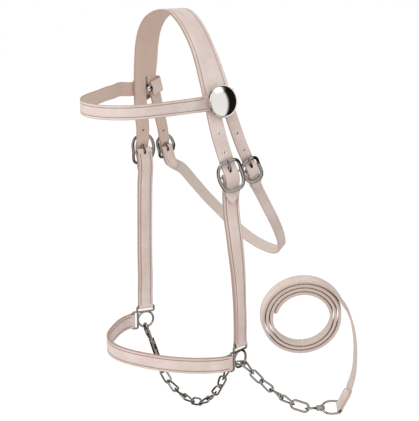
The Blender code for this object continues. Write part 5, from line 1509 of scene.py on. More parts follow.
@dataclass
class Crown:
    """The crown: one cut piece whose two ends are split into front and rear billets."""

    lines: StrapLines
    width: float = CROWN_WIDTH * MM
    thick: float = CROWN_THICK * MM
    front: float = FRONT_BILLET * MM
    rear: float = REAR_BILLET * MM
    hole_radius: float = 1.4 * MM
    hole_pitch: float = 26.0 * MM
    taper: float = 13.0 * MM
    spacing: float = 2.2 * MM
    cut: StrapCut = StrapCut(0.9 * MM, 4.5 * MM, 1.1 * MM, 0.32 * MM)

    def _loop(self) -> tuple[Array, Array]:
        """Section columns of one part, from its outer edge along the grain face and back.

        Returns:
            Rows (share of the part, inset, face, drop, pressed, grain), and the numbers of the
            corners beside the slit.
        """
        outer, pressed = self.cut.corner_rows((90.0, 60.0, 30.0, 0.0)), self.cut.line_rows()
        top = [(0.0, k, 1.0, d, p, g) for k, d, p, g in outer + pressed]
        top += [(f, 0.0, 1.0, 0.0, 0.0, 1.0) for f in (0.5, 0.75)]
        top += [(1.0, -k, 1.0, d, 0.0, g) for k, d, _, g in outer[::-1]]
        under = [(1.0, -k, -1.0, d, 0.0, 1.0 - g) for k, d, _, g in outer]
        under += [(f, 0.0, -1.0, 0.0, 0.0, 0.0) for f in (0.75, 0.5)]
        under += [(0.0, k, -1.0, d, 0.0, 1.0 - g) for k, d, _, g in outer[::-1]]
        rows = np.array(top + under)
        inner = np.arange(len(outer) + len(pressed) + 2, len(outer) + len(pressed) + 2 + 2 * len(outer))
        return rows, inner

    def _strip(self, lay: Lay, low: Array, high: Array, half_thick: float, pressed: Array, run0: float,
               square: bool = False) -> tuple[Array, Array]:
        """A part of the crown between two lines across it, as strip_grid's formula with the loop's columns.

        Args:
            lay: The stations.
            low: Where the outer edge lies across, at each station.
            high: Where the slit's edge lies.
            half_thick: Half the thickness.
            pressed: How strongly the line is pressed.
            run0: Length along the crown at the first station.
            square: Whether the slit's edge is left square.

        Returns:
            The grid and its maps.
        """
        rows, inner = self._loop()
        share, inset, face, drop, groove, grain = rows.T
        low, high = np.broadcast_arrays(np.asarray(low, float)[..., None], np.asarray(high, float)[..., None])
        # Near the point everything beside the edge draws together
        narrow = np.minimum(1.0, 0.42 * np.abs(high - low) / np.abs(inset).max())
        pressed = np.broadcast_to(pressed, len(lay.points))[:, None]
        if square:
            inset, drop, grain = inset.copy(), drop.copy(), grain.copy()
            drop[inner], inset[inner], grain[inner] = 0.0, 0.0, (face[inner] > 0)
        sign = np.sign(high - low)
        across = low + share * (high - low) + sign * inset * narrow
        out = face * (half_thick - drop * narrow ** 0.5 - self.cut.line_depth * groove * pressed)
        points = lay.spread(across, out)
        run = run_length(lay.points) + run0
        maps = np.zeros(points.shape[:2] + (6,))
        maps[..., 0], maps[..., 1] = run[:, None], across
        maps[..., 2] = np.minimum(np.abs(across - low), np.where(pressed > 0.5, 1.0, np.abs(high - across)))
        maps[..., 3], maps[..., 4] = grain, pressed
        return points, maps

    def _arch_part(self, shell: Shell, arch: Lay, low: float, high: float) -> tuple[Array, Array]:
        """Add one half of the arch's faces, without the wall in the slit.

        Args:
            shell: Where they go.
            arch: The arch's stations.
            low: One edge's distance across the crown.
            high: The other edge's distance.

        Returns:
            The half's point numbers and its maps.
        """
        points, maps = self._strip(arch, np.full(len(arch.points), low), np.full(len(arch.points), high),
                                   self.thick / 2, 1.0, 0.0, True)
        index = shell.add_points(points).reshape(points.shape[:2])
        _, inner = self._loop()
        half = len(inner) // 2
        top, under = np.arange(0, inner[half - 1] + 1), np.arange(inner[half], points.shape[1])
        shell.quads(index[:, top], maps[:, top])
        tail = np.append(under, 0)
        shell.quads(index[:, tail], maps[:, tail])
        return index, maps

    def _billet(self, shell: Shell, arch_row: Array, arch_maps: Array, name: str) -> None:
        """Add a billet that grows out of the arch's last row, to its rounded point.

        Args:
            shell: The crown's shell.
            arch_row: Point numbers of the arch's loop where the billet starts.
            arch_maps: Their maps.
            name: The buckle that it goes through.
        """
        route, front = self.lines.billets[name], name.endswith("front")
        width, flip = (self.front if front else self.rear), Side(name.split("_")[0]).flip
        tip = np.array((0.5, 1.2, 2.4, 4.0, 6.0, 8.5, 11.0)) * MM
        stations = np.concatenate((steps(2.0 * MM, route.length - self.taper, 2.0 * MM),
                                   route.length - tip[::-1], (route.length,)))
        lay = Lay.over(route, stations, np.zeros(len(stations)), flip=flip)
        away = np.clip((route.length - stations) / self.taper, 0.0, 1.0)
        half = width / 2 * np.maximum(away ** 0.55, 0.11)
        edge = -1.0 if front else 1.0
        fade = 1 - ease(0.0, 14.0 * MM, stations)
        points, maps = self._strip(lay, edge * half, -edge * half, self.thick / 2, fade, 0.0)
        index = shell.add_points(points).reshape(points.shape[:2])
        table_index = np.vstack((arch_row[None], index))
        table_maps = np.concatenate((arch_maps[None], maps))
        if not front:
            table_index, table_maps = table_index[:, ::-1], table_maps[:, ::-1]
        wrap = np.hstack((table_index, table_index[:, :1]))
        shell.quads(wrap, np.concatenate((table_maps, table_maps[:, :1]), axis=1))
        end = table_maps[-1].copy()
        end[:, 2], end[:, 3] = 0.0, 0.5
        shell.polygon(table_index[-1], end)

    def build(self, leather: Finish) -> Piece:
        """The crown's mesh, its billets' holes punched.

        Args:
            leather: Its finish.

        Returns:
            The finished piece.
        """
        shell = Shell(True)
        crown = self.lines.crown
        stations = steps(0.0, crown.length, self.spacing)
        arch = Lay.over(crown, stations, np.zeros(len(stations)))
        low, high = -self.width / 2, self.width / 2
        inner_front, inner_rear = low + self.front, high - self.rear
        front_index, front_maps = self._arch_part(shell, arch, low, inner_front)
        rear_index, rear_maps = self._arch_part(shell, arch, high, inner_rear)
        _, inner = self._loop()
        half = len(inner) // 2
        top, under = inner[half - 1], inner[half]
        for column in (top, under):
            strip = np.column_stack((front_index[:, column], rear_index[:, column]))
            maps = np.stack((front_maps[:, column], rear_maps[:, column]), axis=1)
            shell.quads(strip, maps)
        for side, row in ((Side.FAR, 0), (Side.NEAR, -1)):
            walls = []
            for end, numbers, values, edge in (("_front", front_index, front_maps, inner_front),
                                               ("_rear", rear_index, rear_maps, inner_rear)):
                ring, ring_maps = numbers[row].copy(), values[row].copy()
                # The slit's own wall: the square corners are spread down the cut face
                spread = self._wall(crown, stations[row], edge, len(inner))
                ring[inner[1:-1]] = shell.add_points(spread)[1:-1]
                ring[inner[0]], ring[inner[-1]] = numbers[row][top], numbers[row][under]
                walls.append(ring[inner])
                self._billet(shell, ring, ring_maps, side.value + end)
            wall = np.concatenate((walls[0], walls[1][::-1]))
            shell.polygon(wall, np.tile((0.0, 0.0, 0.0, 0.5, 0.0, 0.0), (len(wall), 1)))
        piece = shell.piece("crown", leather)
        punch(piece, self._punches())
        return piece

    def _wall(self, crown: Route, s: float, side: float, count: int) -> Array:
        """Points down the slit's end at a place across the crown, from the grain face to the flesh."""
        out = np.linspace(self.thick / 2, -self.thick / 2, count)
        return crown.at(np.full(count, s), out, side)

    def _punches(self) -> Shell:
        """The punches for each billet: the hole that its tongue goes through, and two above it.

        Returns:
            A shell with a closed shape for each hole.
        """
        shell = Shell()
        for name, (seat, size) in BUCKLES.items():
            route, rim = self.lines.billets[name], size.rim * MM
            used = route.nearest(seat.at(0, 0, OVER_BAR)) - 0.345 * rim
            flip = Side(name.split("_")[0]).flip
            for number in range(3):
                s = used - number * self.hole_pitch
                points, along, across, _ = route.frames(np.array([s]))
                if number:
                    punch_shape(shell, points[0], along[0], across[0], (self.hole_radius, self.hole_radius))
                else:
                    slant = flip * 0.125 * rim / (self.thick / 2)
                    punch_shape(shell, points[0], along[0], across[0], (0.21 * rim + 0.3 * MM, 2.0 * MM),
                                slant, 3.0, 3.2 * MM)
        return shell


@dataclass
class Browband:
    """The browband: one layer, each end folded round its leg behind the disc."""

    route: Route
    posts: tuple[float, float]
    width: float = 18.0 * MM
    end_width: float = BAND_END_WIDTH * MM
    thick: float = BAND_THICK * MM
    post_hole: float = 3.4 * MM
    cut: StrapCut = StrapCut(0.75 * MM, 3.3 * MM, 1.0 * MM, 0.28 * MM)

    def build(self, leather: Finish) -> Piece:
        """The band with the holes for the discs' posts: width e + (w - e) sin(pi t)^0.5.

        Args:
            leather: Its finish.

        Returns:
            The finished piece.
        """
        route = self.route
        s = steps(0.0, route.length, 1.8 * MM)
        low, high = self.posts[0] - 7 * MM, self.posts[1] + 7 * MM
        blend = np.sin(math.pi * np.clip((s - low) / (high - low), 0.0, 1.0)) ** 0.5
        half = (self.end_width + (self.width - self.end_width) * blend) / 2
        pressed = ease(self.posts[0] + 20 * MM, self.posts[0] + 24 * MM, s)
        pressed = pressed * (1 - ease(self.posts[1] - 24 * MM, self.posts[1] - 20 * MM, s))
        shell = Shell(True)
        add_strip(shell, Lay.over(route, s, np.zeros(len(s))), half, self.thick / 2, self.cut, pressed)
        piece = shell.piece("browband_strap", leather)
        punches = Shell()
        for post in self.posts:
            points, along, across, _ = route.frames(np.array([post]))
            punch_shape(punches, points[0], along[0], across[0], (self.post_hole, self.post_hole),
                        depth=4 * MM)
        punch(piece, punches)
        return piece


@dataclass
class DoubledStrap:
    """A strap of two layers sewn together, turned round a bar at both ends."""

    name: str
    route: Route
    width: float
    thick: float
    tongue: str = ""
    cut: StrapCut = StrapCut(0.85 * MM, 3.4 * MM, 1.3 * MM, 0.35 * MM)
    fold: Fold = Fold()
    stitches: Stitching = Stitching()

    def build(self, leather: Finish, thread: Finish) -> tuple[Piece, Piece]:
        """The strap as one loop of leather: out along one face, round a bar and back along the other.

        Args:
            leather: The strap's finish.
            thread: Its stitches' finish.

        Returns:
            The strap and its stitches.
        """
        route = self.route
        length, layer = route.length, self.thick / 4 + 0.02 * MM
        start = self.fold.start()
        near = self.fold.CLOSE
        s = np.concatenate((near, steps(6.6 * MM, length - 6.6 * MM, 2.4 * MM), length - near[::-1]))
        inside = np.minimum(s, length - s)
        height, thickness = self.fold.height(inside, layer), self.fold.thickness(inside, layer - 0.04 * MM)
        arc = self.fold.arc()
        lines = np.concatenate((s, length - arc[::-1, 0], s[::-1], arc[:, 0]))
        outs = np.concatenate((height, arc[::-1, 1], -height[::-1], arc[:, 1]))
        thin = np.full(len(arc), self.fold.half_thick)
        halves = np.concatenate((thickness, thin, thickness[::-1], thin))
        pressed = np.where(np.minimum(lines, length - lines) > start + 3 * MM, 1.0, 0.0)
        shell = Shell(True)
        lay = Lay.over(route, lines, outs, True)
        add_strip(shell, lay, self.width / 2, halves, self.cut, pressed, True)
        piece = shell.piece(self.name, leather)
        if self.tongue:
            punches = Shell()
            cut_tongue_slot(punches, self.tongue)
            punch(piece, punches)
        beads = Shell()
        side = self.width / 2 - self.cut.line_at
        for face in (1.0, -1.0):
            for across in (side, -side):
                self.stitches.sew(beads, route, 11 * MM, length - 11 * MM, across,
                                  self.thick / 2 - self.cut.line_depth, face)
        return piece, beads.piece(self.name + "_thread", thread)


def cut_tongue_slot(shell: Shell, name: str) -> None:
    """Add the punch for the slot in a fold in which a buckle's tongue turns.

    Args:
        shell: What the punch is added to.
        name: The buckle.
    """
    seat, _ = BUCKLES[name]
    down = seat.fold_way()
    side = np.cross(down, square_to(seat.axes()[2], down))
    punch_shape(shell, seat.at() - down * 0.5 * MM, down, side, (5.5 * MM, 1.9 * MM), 0.0, 9.0, 8 * MM)


@dataclass
class Throatlatch:
    """The throatlatch: one layer, its thinned ends turned round the rear buckles' bars and sewn."""

    route: Route
    width: float = 16.0 * MM
    thick: float = 2.8 * MM
    end_thick: float = THROAT_END_THICK * MM
    sewn: float = 34.0 * MM
    cut: StrapCut = StrapCut(0.8 * MM, 2.9 * MM, 0.8 * MM, 0.12 * MM)
    fold: Fold = Fold()
    stitches: Stitching = Stitching(3.1 * MM, 2.3 * MM, 0.33 * MM)

    def build(self, leather: Finish, thread: Finish) -> tuple[Piece, Piece]:
        """The strap from one tail, round the far bar, under the throat, round the near bar, to the other.

        Args:
            leather: The strap's finish.
            thread: Its stitches' finish.

        Returns:
            The strap and its stitches.
        """
        route = self.route
        length, layer = route.length, self.end_thick / 4 + 0.02 * MM
        near, arc = self.fold.CLOSE, self.fold.arc()
        tail, tail_height, tail_full = self.fold.tail(self.sewn, layer)
        middle = np.concatenate((near, steps(7.0 * MM, length - 7.0 * MM, 2.4 * MM), length - near[::-1]))
        inside = np.minimum(middle, length - middle)
        single = ease(self.sewn, self.sewn + 6 * MM, inside)
        height = self.fold.height(inside, layer) * (1 - single)
        thin = np.full(len(arc), self.fold.half_thick)
        full = self.fold.thickness(inside, layer - 0.04 * MM)
        full = full + (self.thick / 2 - full) * single
        lines = np.concatenate((tail, arc[:, 0], middle, length - arc[::-1, 0], length - tail[::-1]))
        outs = np.concatenate((-tail_height, arc[:, 1], height, arc[::-1, 1], -tail_height[::-1]))
        halves = np.concatenate((tail_full, thin, full, thin, tail_full[::-1]))
        shell = Shell(True)
        add_strip(shell, Lay.over(route, lines, outs), self.width / 2, halves, self.cut, 0.25)
        piece = shell.piece("throatlatch_strap", leather)
        punches = Shell()
        cut_tongue_slot(punches, "far_rear")
        cut_tongue_slot(punches, "near_rear")
        punch(piece, punches)
        beads = Shell()
        side = self.width / 2 - self.cut.line_at
        for first, last in ((10 * MM, self.sewn), (length - self.sewn, length - 10 * MM)):
            for across in (side, -side):
                for face in (1.0, -1.0):
                    self.stitches.sew(beads, route, first, last, across, self.end_thick / 2, face)
        return piece, beads.piece("throatlatch_thread", thread)


@dataclass
class LeadStrap:
    """The lead's strap: sewn round the swivel's loop, then a free stretch and a flat spiral coil."""

    width: float = 16.0 * MM
    thick: float = 3.0 * MM
    end_thick: float = 5.6 * MM
    sewn: float = 34.0 * MM
    centre: tuple[float, float, float] = (154.7, 97.5, -403.0)
    outer_radius: float = 56.5 * MM
    pitch: float = 5.65 * MM
    turns: float = 3.4
    start_angle: float = 25.0
    azimuth: float = 52.0
    tilt: float = 9.0
    lean: float = 8.0
    coil_thick: float = 3.8 * MM
    cut: StrapCut = StrapCut(0.85 * MM, 2.9 * MM, 0.8 * MM, 0.12 * MM)
    fold: Fold = Fold()
    stitches: Stitching = Stitching(3.1 * MM, 2.3 * MM, 0.33 * MM)

    def spiral(self, per_turn: int) -> tuple[Array, Array]:
        """The coil's middle line: c + (R - p n)(cos 2 pi n x + sin 2 pi n y), n from 0 to the turns.

        Args:
            per_turn: Points in a turn.

        Returns:
            The points and the coil's axis, which looks at the camera.
        """
        tilt = math.radians(self.tilt)
        axis = facing(self.azimuth) * math.cos(tilt) - np.array((0.0, 0.0, math.sin(tilt)))
        upward = square_to((0.0, 0.0, 1.0), axis)
        right = np.cross(upward, axis)
        n = np.arange(round(self.turns * per_turn) + 1) / per_turn
        v = math.radians(self.start_angle) + 2 * math.pi * n
        radius = self.outer_radius - self.pitch * n
        points = (np.array(self.centre) * MM + (radius * np.cos(v))[:, None] * right
                  + (radius * np.sin(v))[:, None] * upward)
        return points, axis

    def route(self) -> Route:
        """From the loop's bar, up through the listed points, to the coil's outer end.

        Returns:
            The strap's route.
        """
        coil, axis = self.spiral(24)
        way = unit(coil[1] - coil[0])
        end = coil[0] - way * 0.3 * MM
        swivel = unit(SWIVEL_AXIS)
        bar = square_to(LOOP_BAR_WAY, swivel)
        lift = square_to((0.13, 0.15, 0.98), bar)
        foot = (np.array(SWIVEL_PLACE) + swivel * LOOP_BAR) * MM
        points = [foot + lift * reach * MM for reach in (0, 11, 20)]
        points += list(np.array(LEAD_STRAP_ROUTE) * MM) + [end - way * self.width, end]
        turned_in = [unit(bar * (1 - k) - axis * k) for k in (0.25, 0.5, 0.75, 0.95, 1.0, 1.0, 1.0)]
        return Route(points, [bar] * 3 + turned_in)

    def build(self, leather: Finish, thread: Finish) -> tuple[Piece, Piece]:
        """The whole strap from its sewn tail, round the bar and along to the coil's inner end.

        Args:
            leather: The strap's finish.
            thread: Its stitches' finish.

        Returns:
            The strap and its stitches.
        """
        route = self.route()
        layer = self.end_thick / 4 + 0.02 * MM
        arc = self.fold.arc()
        tail, tail_height, tail_full = self.fold.tail(self.sewn, layer)
        rest = np.concatenate((self.fold.CLOSE, steps(7.0 * MM, route.length - 1.0 * MM, 2.4 * MM)))
        single = ease(self.sewn, self.sewn + 5 * MM, rest)
        height = self.fold.height(rest, layer) * (1 - single)
        full = self.fold.thickness(rest, layer - 0.04 * MM)
        full = full + (self.thick / 2 - full) * single
        lines = np.concatenate((tail, arc[:, 0], rest))
        outs = np.concatenate((tail_height, -arc[:, 1], -height))
        halves = np.concatenate((tail_full, np.full(len(arc), self.fold.half_thick), full))
        free = Lay.over(route, lines, outs, flip=-1.0)
        coil, axis = self.spiral(72)
        along = unit(np.gradient(coil, axis=0))
        radial = np.cross(np.broadcast_to(-axis, coil.shape), along)
        lean = math.radians(self.lean) * ease(0.0, 70 * MM, run_length(coil))[:, None]
        radial = radial * np.sign(np.sum(radial * (coil - np.array(self.centre) * MM), axis=1))[:, None]
        across = -axis * np.cos(lean) + radial * np.sin(lean)
        wound = Lay(coil[1:], across[1:], -np.cross(along, across)[1:])
        lay = free.joined(wound)
        wide = ease(0.0, 70 * MM, run_length(coil)[1:])
        halves = np.concatenate((halves, (self.thick + (self.coil_thick - self.thick) * wide) / 2))
        half_width = np.full(len(halves), self.width / 2)
        end = np.arange(8)[::-1]
        half_width[-8:] = self.width / 2 * (1 - 0.45 * (1 - np.sqrt(1 - (1 - end / 8) ** 2)))
        shell = Shell(True)
        add_strip(shell, lay, half_width, halves, self.cut, 0.25)
        piece = shell.piece("lead_strap_and_coil", leather)
        line = np.concatenate((route.at(np.linspace(0.0, route.length - 4 * MM, 16)), self.spiral(24)[0]))
        tuple(round(float(k), 4) for k in route.at(0.0)[0])
        beads = Shell()
        side = self.width / 2 - self.cut.line_at
        for across_side in (side, -side):
            for face in (1.0, -1.0):
                self.stitches.sew(beads, route, 10 * MM, self.sewn, across_side, self.end_thick / 2, face)
        return piece, beads.piece("lead_strap_thread", thread)


# Metal


@dataclass
class Buckle:
    """A cast oval buckle frame, arched outward at its ends, with a centre bar and a tongue."""

    name: str
    seat: Seat
    size: BuckleSize
    power: float = 3.0
    arch_power: float = 1.3
    bar: float = 1.5
    tongue_width: float = 2.8

    def frame_piece(self, nickel: Finish) -> Piece:
        """The frame: |x/a|^p + |y/b|^p = 1 lifted by h |y/b|^q, with a soft D-shaped section.

        Args:
            nickel: Its finish.

        Returns:
            The finished piece.
        """
        half_width, rim = self.size.width / 2 - self.size.frame / 2, self.size.rim
        v = np.linspace(0.0, 2 * math.pi, 128, endpoint=False)
        c, s = np.cos(v), np.sin(v)
        share = (np.abs(c) ** self.power + np.abs(s) ** self.power) ** (-1 / self.power)
        path = np.column_stack((half_width * c * share, rim * s * share, np.zeros(len(v))))
        path[:, 2] = self.size.arch * (np.abs(path[:, 1]) / rim) ** self.arch_power
        along = unit(np.roll(path, -1, axis=0) - np.roll(path, 1, axis=0))
        across = square_to(np.column_stack((path[:, :2], np.zeros(len(path)))), along)
        out = np.cross(along, across)
        out *= np.sign(out[:, 2:])
        u = np.linspace(0.0, 2 * math.pi, 20, endpoint=False)
        wide = self.size.frame / 2 * np.sign(np.cos(u)) * np.abs(np.cos(u)) ** 0.8
        lift = np.abs(np.sin(u))
        high = self.size.thick / 2 * np.where(np.sin(u) > 0, lift ** 0.9, -lift ** 0.55)
        grid = path[:, None] + wide[:, None] * across[:, None] + high[:, None] * out[:, None]
        shell = Shell()
        shell.grid(self.seat.put(grid * MM), closed=True)
        x = np.linspace(-half_width, half_width, 9)
        bar = np.column_stack((x, np.zeros(9), np.zeros(9)))
        add_rod(shell, self.seat.put(bar * MM), self.bar * MM, self.seat.axes()[2], 16, 0.2)
        return shell.piece(self.name, nickel)

    def tongue_piece(self, nickel: Finish) -> Piece:
        """The tongue: a strap of wire curled round the bar, and a prong that rests on the top rim.

        Args:
            nickel: Its finish.

        Returns:
            The finished piece.
        """
        shell = Shell()
        v = np.linspace(0.0, 2 * math.pi, 36, endpoint=False)
        inner, outer, w = 1.8, 3.1, self.tongue_width / 2
        ring = np.array([(-w, inner), (w, inner), (w, outer - 0.35), (w - 0.4, outer), (0.4 - w, outer),
                         (-w, outer - 0.35)])
        grid = np.stack((np.broadcast_to(ring[:, 0], (36, 6)), np.cos(v)[:, None] * ring[:, 1],
                         np.sin(v)[:, None] * ring[:, 1]), axis=-1)
        shell.grid(self.seat.put(grid * MM), closed=True)
        rim, rest = self.size.rim, self.size.arch + self.size.thick / 2 + 0.3
        knots = np.array([(0, 1.6, 2.1), (0, 0.55 * rim, rest * 0.66 + 1.0), (0, rim - 1.0, rest + 1.0),
                          (0, rim + 2.8, rest + 0.4)])
        line = smooth_line(knots, 0.8)
        t = np.linspace(0.0, 1.0, len(line))
        radii = w * (1.0 - 0.30 * ease(0.70, 1.0, t))
        add_rod(shell, self.seat.put(line * MM), radii * MM, self.seat.axes()[2], 16, 0.5, 0.72)
        return shell.piece(self.name.replace("frame", "tongue"), nickel)


@dataclass
class Disc:
    """A domed disc with a rolled rim, its post through the slit and the screw that holds it."""

    side: Side
    seat: Seat
    base: float
    radius: float = DISC_RADIUS
    rise: float = 6.6
    edge: float = 1.1
    post: float = 1.8
    back: float = 6.4
    screw_length: float = 4.6

    def dome(self, radius: Array) -> Array:
        """Height of the dome at a radius: base + edge + rise - (R - (R2 - r2)^0.5)."""
        sphere = (self.radius ** 2 + self.rise ** 2) / (2 * self.rise)
        return self.base + self.edge + self.rise - (sphere - np.sqrt(sphere ** 2 - np.asarray(radius) ** 2))

    def build(self, nickel: Finish) -> tuple[Piece, Piece]:
        """The disc and its screw, turned about the seat's outward direction.

        Args:
            nickel: Their finish.

        Returns:
            Both finished pieces.
        """
        inside = self.radius - 2.1
        top = np.linspace(0.0, inside, 22)
        profile = [(float(r), float(h)) for r, h in zip(top, self.dome(top))]
        lip = float(self.dome(inside))
        profile += [(inside + 0.25, lip - 0.40), (inside + 0.55, lip - 0.34), (inside + 0.95, lip - 0.05),
                    (self.radius - 0.65, lip - 0.10), (self.radius - 0.2, self.base + self.edge * 0.95),
                    (self.radius, self.base + self.edge * 0.5), (self.radius - 0.15, self.base + 0.08),
                    (self.radius - 0.6, self.base), (self.radius - 1.5, self.base)]
        under = np.linspace(self.radius - 2.2, self.post, 9)
        profile += [(float(r), float(h)) for r, h in zip(under, self.dome(under) - 1.5)]
        bore, depth = 1.3, self.screw_length + 0.6
        profile += [(self.post, -self.back + 0.3), (self.post - 0.3, -self.back), (bore, -self.back),
                    (bore, depth - self.back), (0.0, depth - self.back)]
        shell = Shell()
        shell.grid(self.seat.put(turned(profile, 96)))
        head = -self.back - 0.3
        screw = [(0.0, head - 1.3), (2.8, head - 1.25), (4.0, head - 0.9), (4.4, head - 0.45),
                 (4.5, head - 0.15), (4.4, head), (1.0, head), (1.0, head + self.screw_length),
                 (0.0, head + self.screw_length)]
        screws = Shell()
        screws.grid(self.seat.put(turned(screw, 40)))
        screw_piece = screws.piece("disc_screw_" + self.side.value, nickel)
        slot = Shell()
        box = np.array([[(-5.5, -0.35), (5.5, -0.35), (5.5, 0.35), (-5.5, 0.35)]] * 2)
        heights = np.array((head - 2.2, head - 0.75))
        grid = np.concatenate((box, np.broadcast_to(heights[:, None, None], (2, 4, 1))), axis=-1)
        slot.solid(self.seat.put(grid * MM))
        punch(screw_piece, slot)
        return shell.piece("disc_" + self.side.value, nickel), screw_piece


def rounded_frame(low: tuple[float, float], high: tuple[float, float], radius: float) -> Array:
    """A rectangle's line with round corners, each a quarter circle, in the plane of side and up.

    Args:
        low: Its corner with the least side and up.
        high: The corner across from it.
        radius: The corners' radius.

    Returns:
        Points along side, up and out, with nothing along out.
    """
    quarter = np.radians(np.linspace(0.0, 90.0, 8))
    middle, half = (np.array(high) + low) / 2, (np.array(high) - low) / 2 - radius
    lines = []
    for number, corner in enumerate(((1, 1), (-1, 1), (-1, -1), (1, -1))):
        v = quarter + number * math.pi / 2
        arc = middle + half * corner + radius * np.column_stack((np.cos(v), np.sin(v)))
        lines.append(np.column_stack((arc, np.zeros(len(v)))))
    return np.concatenate(lines)


@dataclass
class RingFitting:
    """A round ring cast in one piece with a slot above for the cheek and one in front for the noseband."""

    side: Side
    wire: float = 1.6
    radius: float = RING_RADIUS
    slot_wire: float = 1.5
    slot_base: float = 12.4
    slot_bar: float = SLOT_BAR
    cheek_half: float = 13.1
    nose_half: float = 12.85

    def build(self, nickel: Finish) -> Piece:
        """The ring and its slots, as wires laid in the fitting's plane.

        Args:
            nickel: Its finish.

        Returns:
            The finished piece.
        """
        seat = RINGS[self.side]
        axes = seat.axes()
        forward = 1.0 if axes[0][1] < 0 else -1.0
        v = np.linspace(0.0, 2 * math.pi, 96, endpoint=False)
        circle = np.column_stack((np.cos(v), np.sin(v), np.zeros(len(v)))) * self.radius
        shell = Shell()
        shell.grid(tube(seat.put(circle * MM), self.wire * MM, axes[2], True, 20), closed=True)
        top = rounded_frame((-self.cheek_half, self.slot_base), (self.cheek_half, self.slot_bar), 2.0)
        front = rounded_frame((self.slot_base, -self.nose_half), (self.slot_bar, self.nose_half), 2.0)
        front[:, 0] *= forward
        for line in (top, front):
            shell.grid(tube(seat.put(line * MM), self.slot_wire * MM, axes[2], True, 16), closed=True)
        return shell.piece("ring_fitting_" + self.side.value, nickel)


@dataclass(frozen=True)
class ChainLink:
    """A twisted oval link of round wire, as in a curb chain."""

    length: float = 25.0
    width: float = 12.0
    wire: float = 1.4
    twist: float = 54.0
    play: float = 0.9

    @property
    def pitch(self) -> float:
        """From where it hangs to where the next one hangs in it, in millimetres."""
        return self.length - 4 * self.wire - self.play

    def build(self, name: str, start: Array, end: Array, roll: float, nickel: Finish) -> Piece:
        """The link from where it hangs toward the next, turned about its run by t (x / L - 1/2).

        Args:
            name: The piece's name.
            start: Where it hangs, in millimetres.
            end: Where the next one hangs in it.
            roll: How far its flat side is turned from straight up, in degrees.
            nickel: Its finish.

        Returns:
            The finished piece.
        """
        half, span = self.width / 2 - self.wire, self.length - 2 * self.wire
        bend = np.radians(np.linspace(-90, 90, 15))
        sides = np.linspace(half, span - half, 9)[1:-1]
        ahead, flat = half * np.cos(bend), np.full(len(sides), half)
        x = np.concatenate((half - ahead, sides, span - half + ahead, sides[::-1]))
        y = np.concatenate((half * np.sin(bend), flat, -half * np.sin(bend), -flat))
        turn = np.radians(self.twist) * (x / span - 0.5)
        seat = self.wire + self.play / 2
        local = np.column_stack((x - seat, y * np.cos(turn), y * np.sin(turn)))
        normal = np.column_stack((np.zeros(len(x)), -np.sin(turn), np.cos(turn)))
        axes = rolled_axes(np.asarray(end, float) - np.asarray(start, float), roll)
        shell = Shell()
        path = np.asarray(start, float) * MM + local @ axes * MM
        shell.grid(tube(path, self.wire * MM, normal @ axes, True, 14), closed=True)
        return shell.piece(name, nickel)


def rolled_axes(along: Array, roll: float) -> Array:
    """Rows: along, the direction rolled from straight up, and their cross product.

    Args:
        along: A direction.
        roll: How far the second row is turned about it, in degrees.

    Returns:
        Three rows by three.
    """
    along = unit(along)
    upward = square_to((0.0, 0.0, 1.0), along)
    level = np.cross(along, upward)
    angle = math.radians(roll)
    flat = upward * math.cos(angle) + level * math.sin(angle)
    return np.array((along, flat, np.cross(along, flat)))


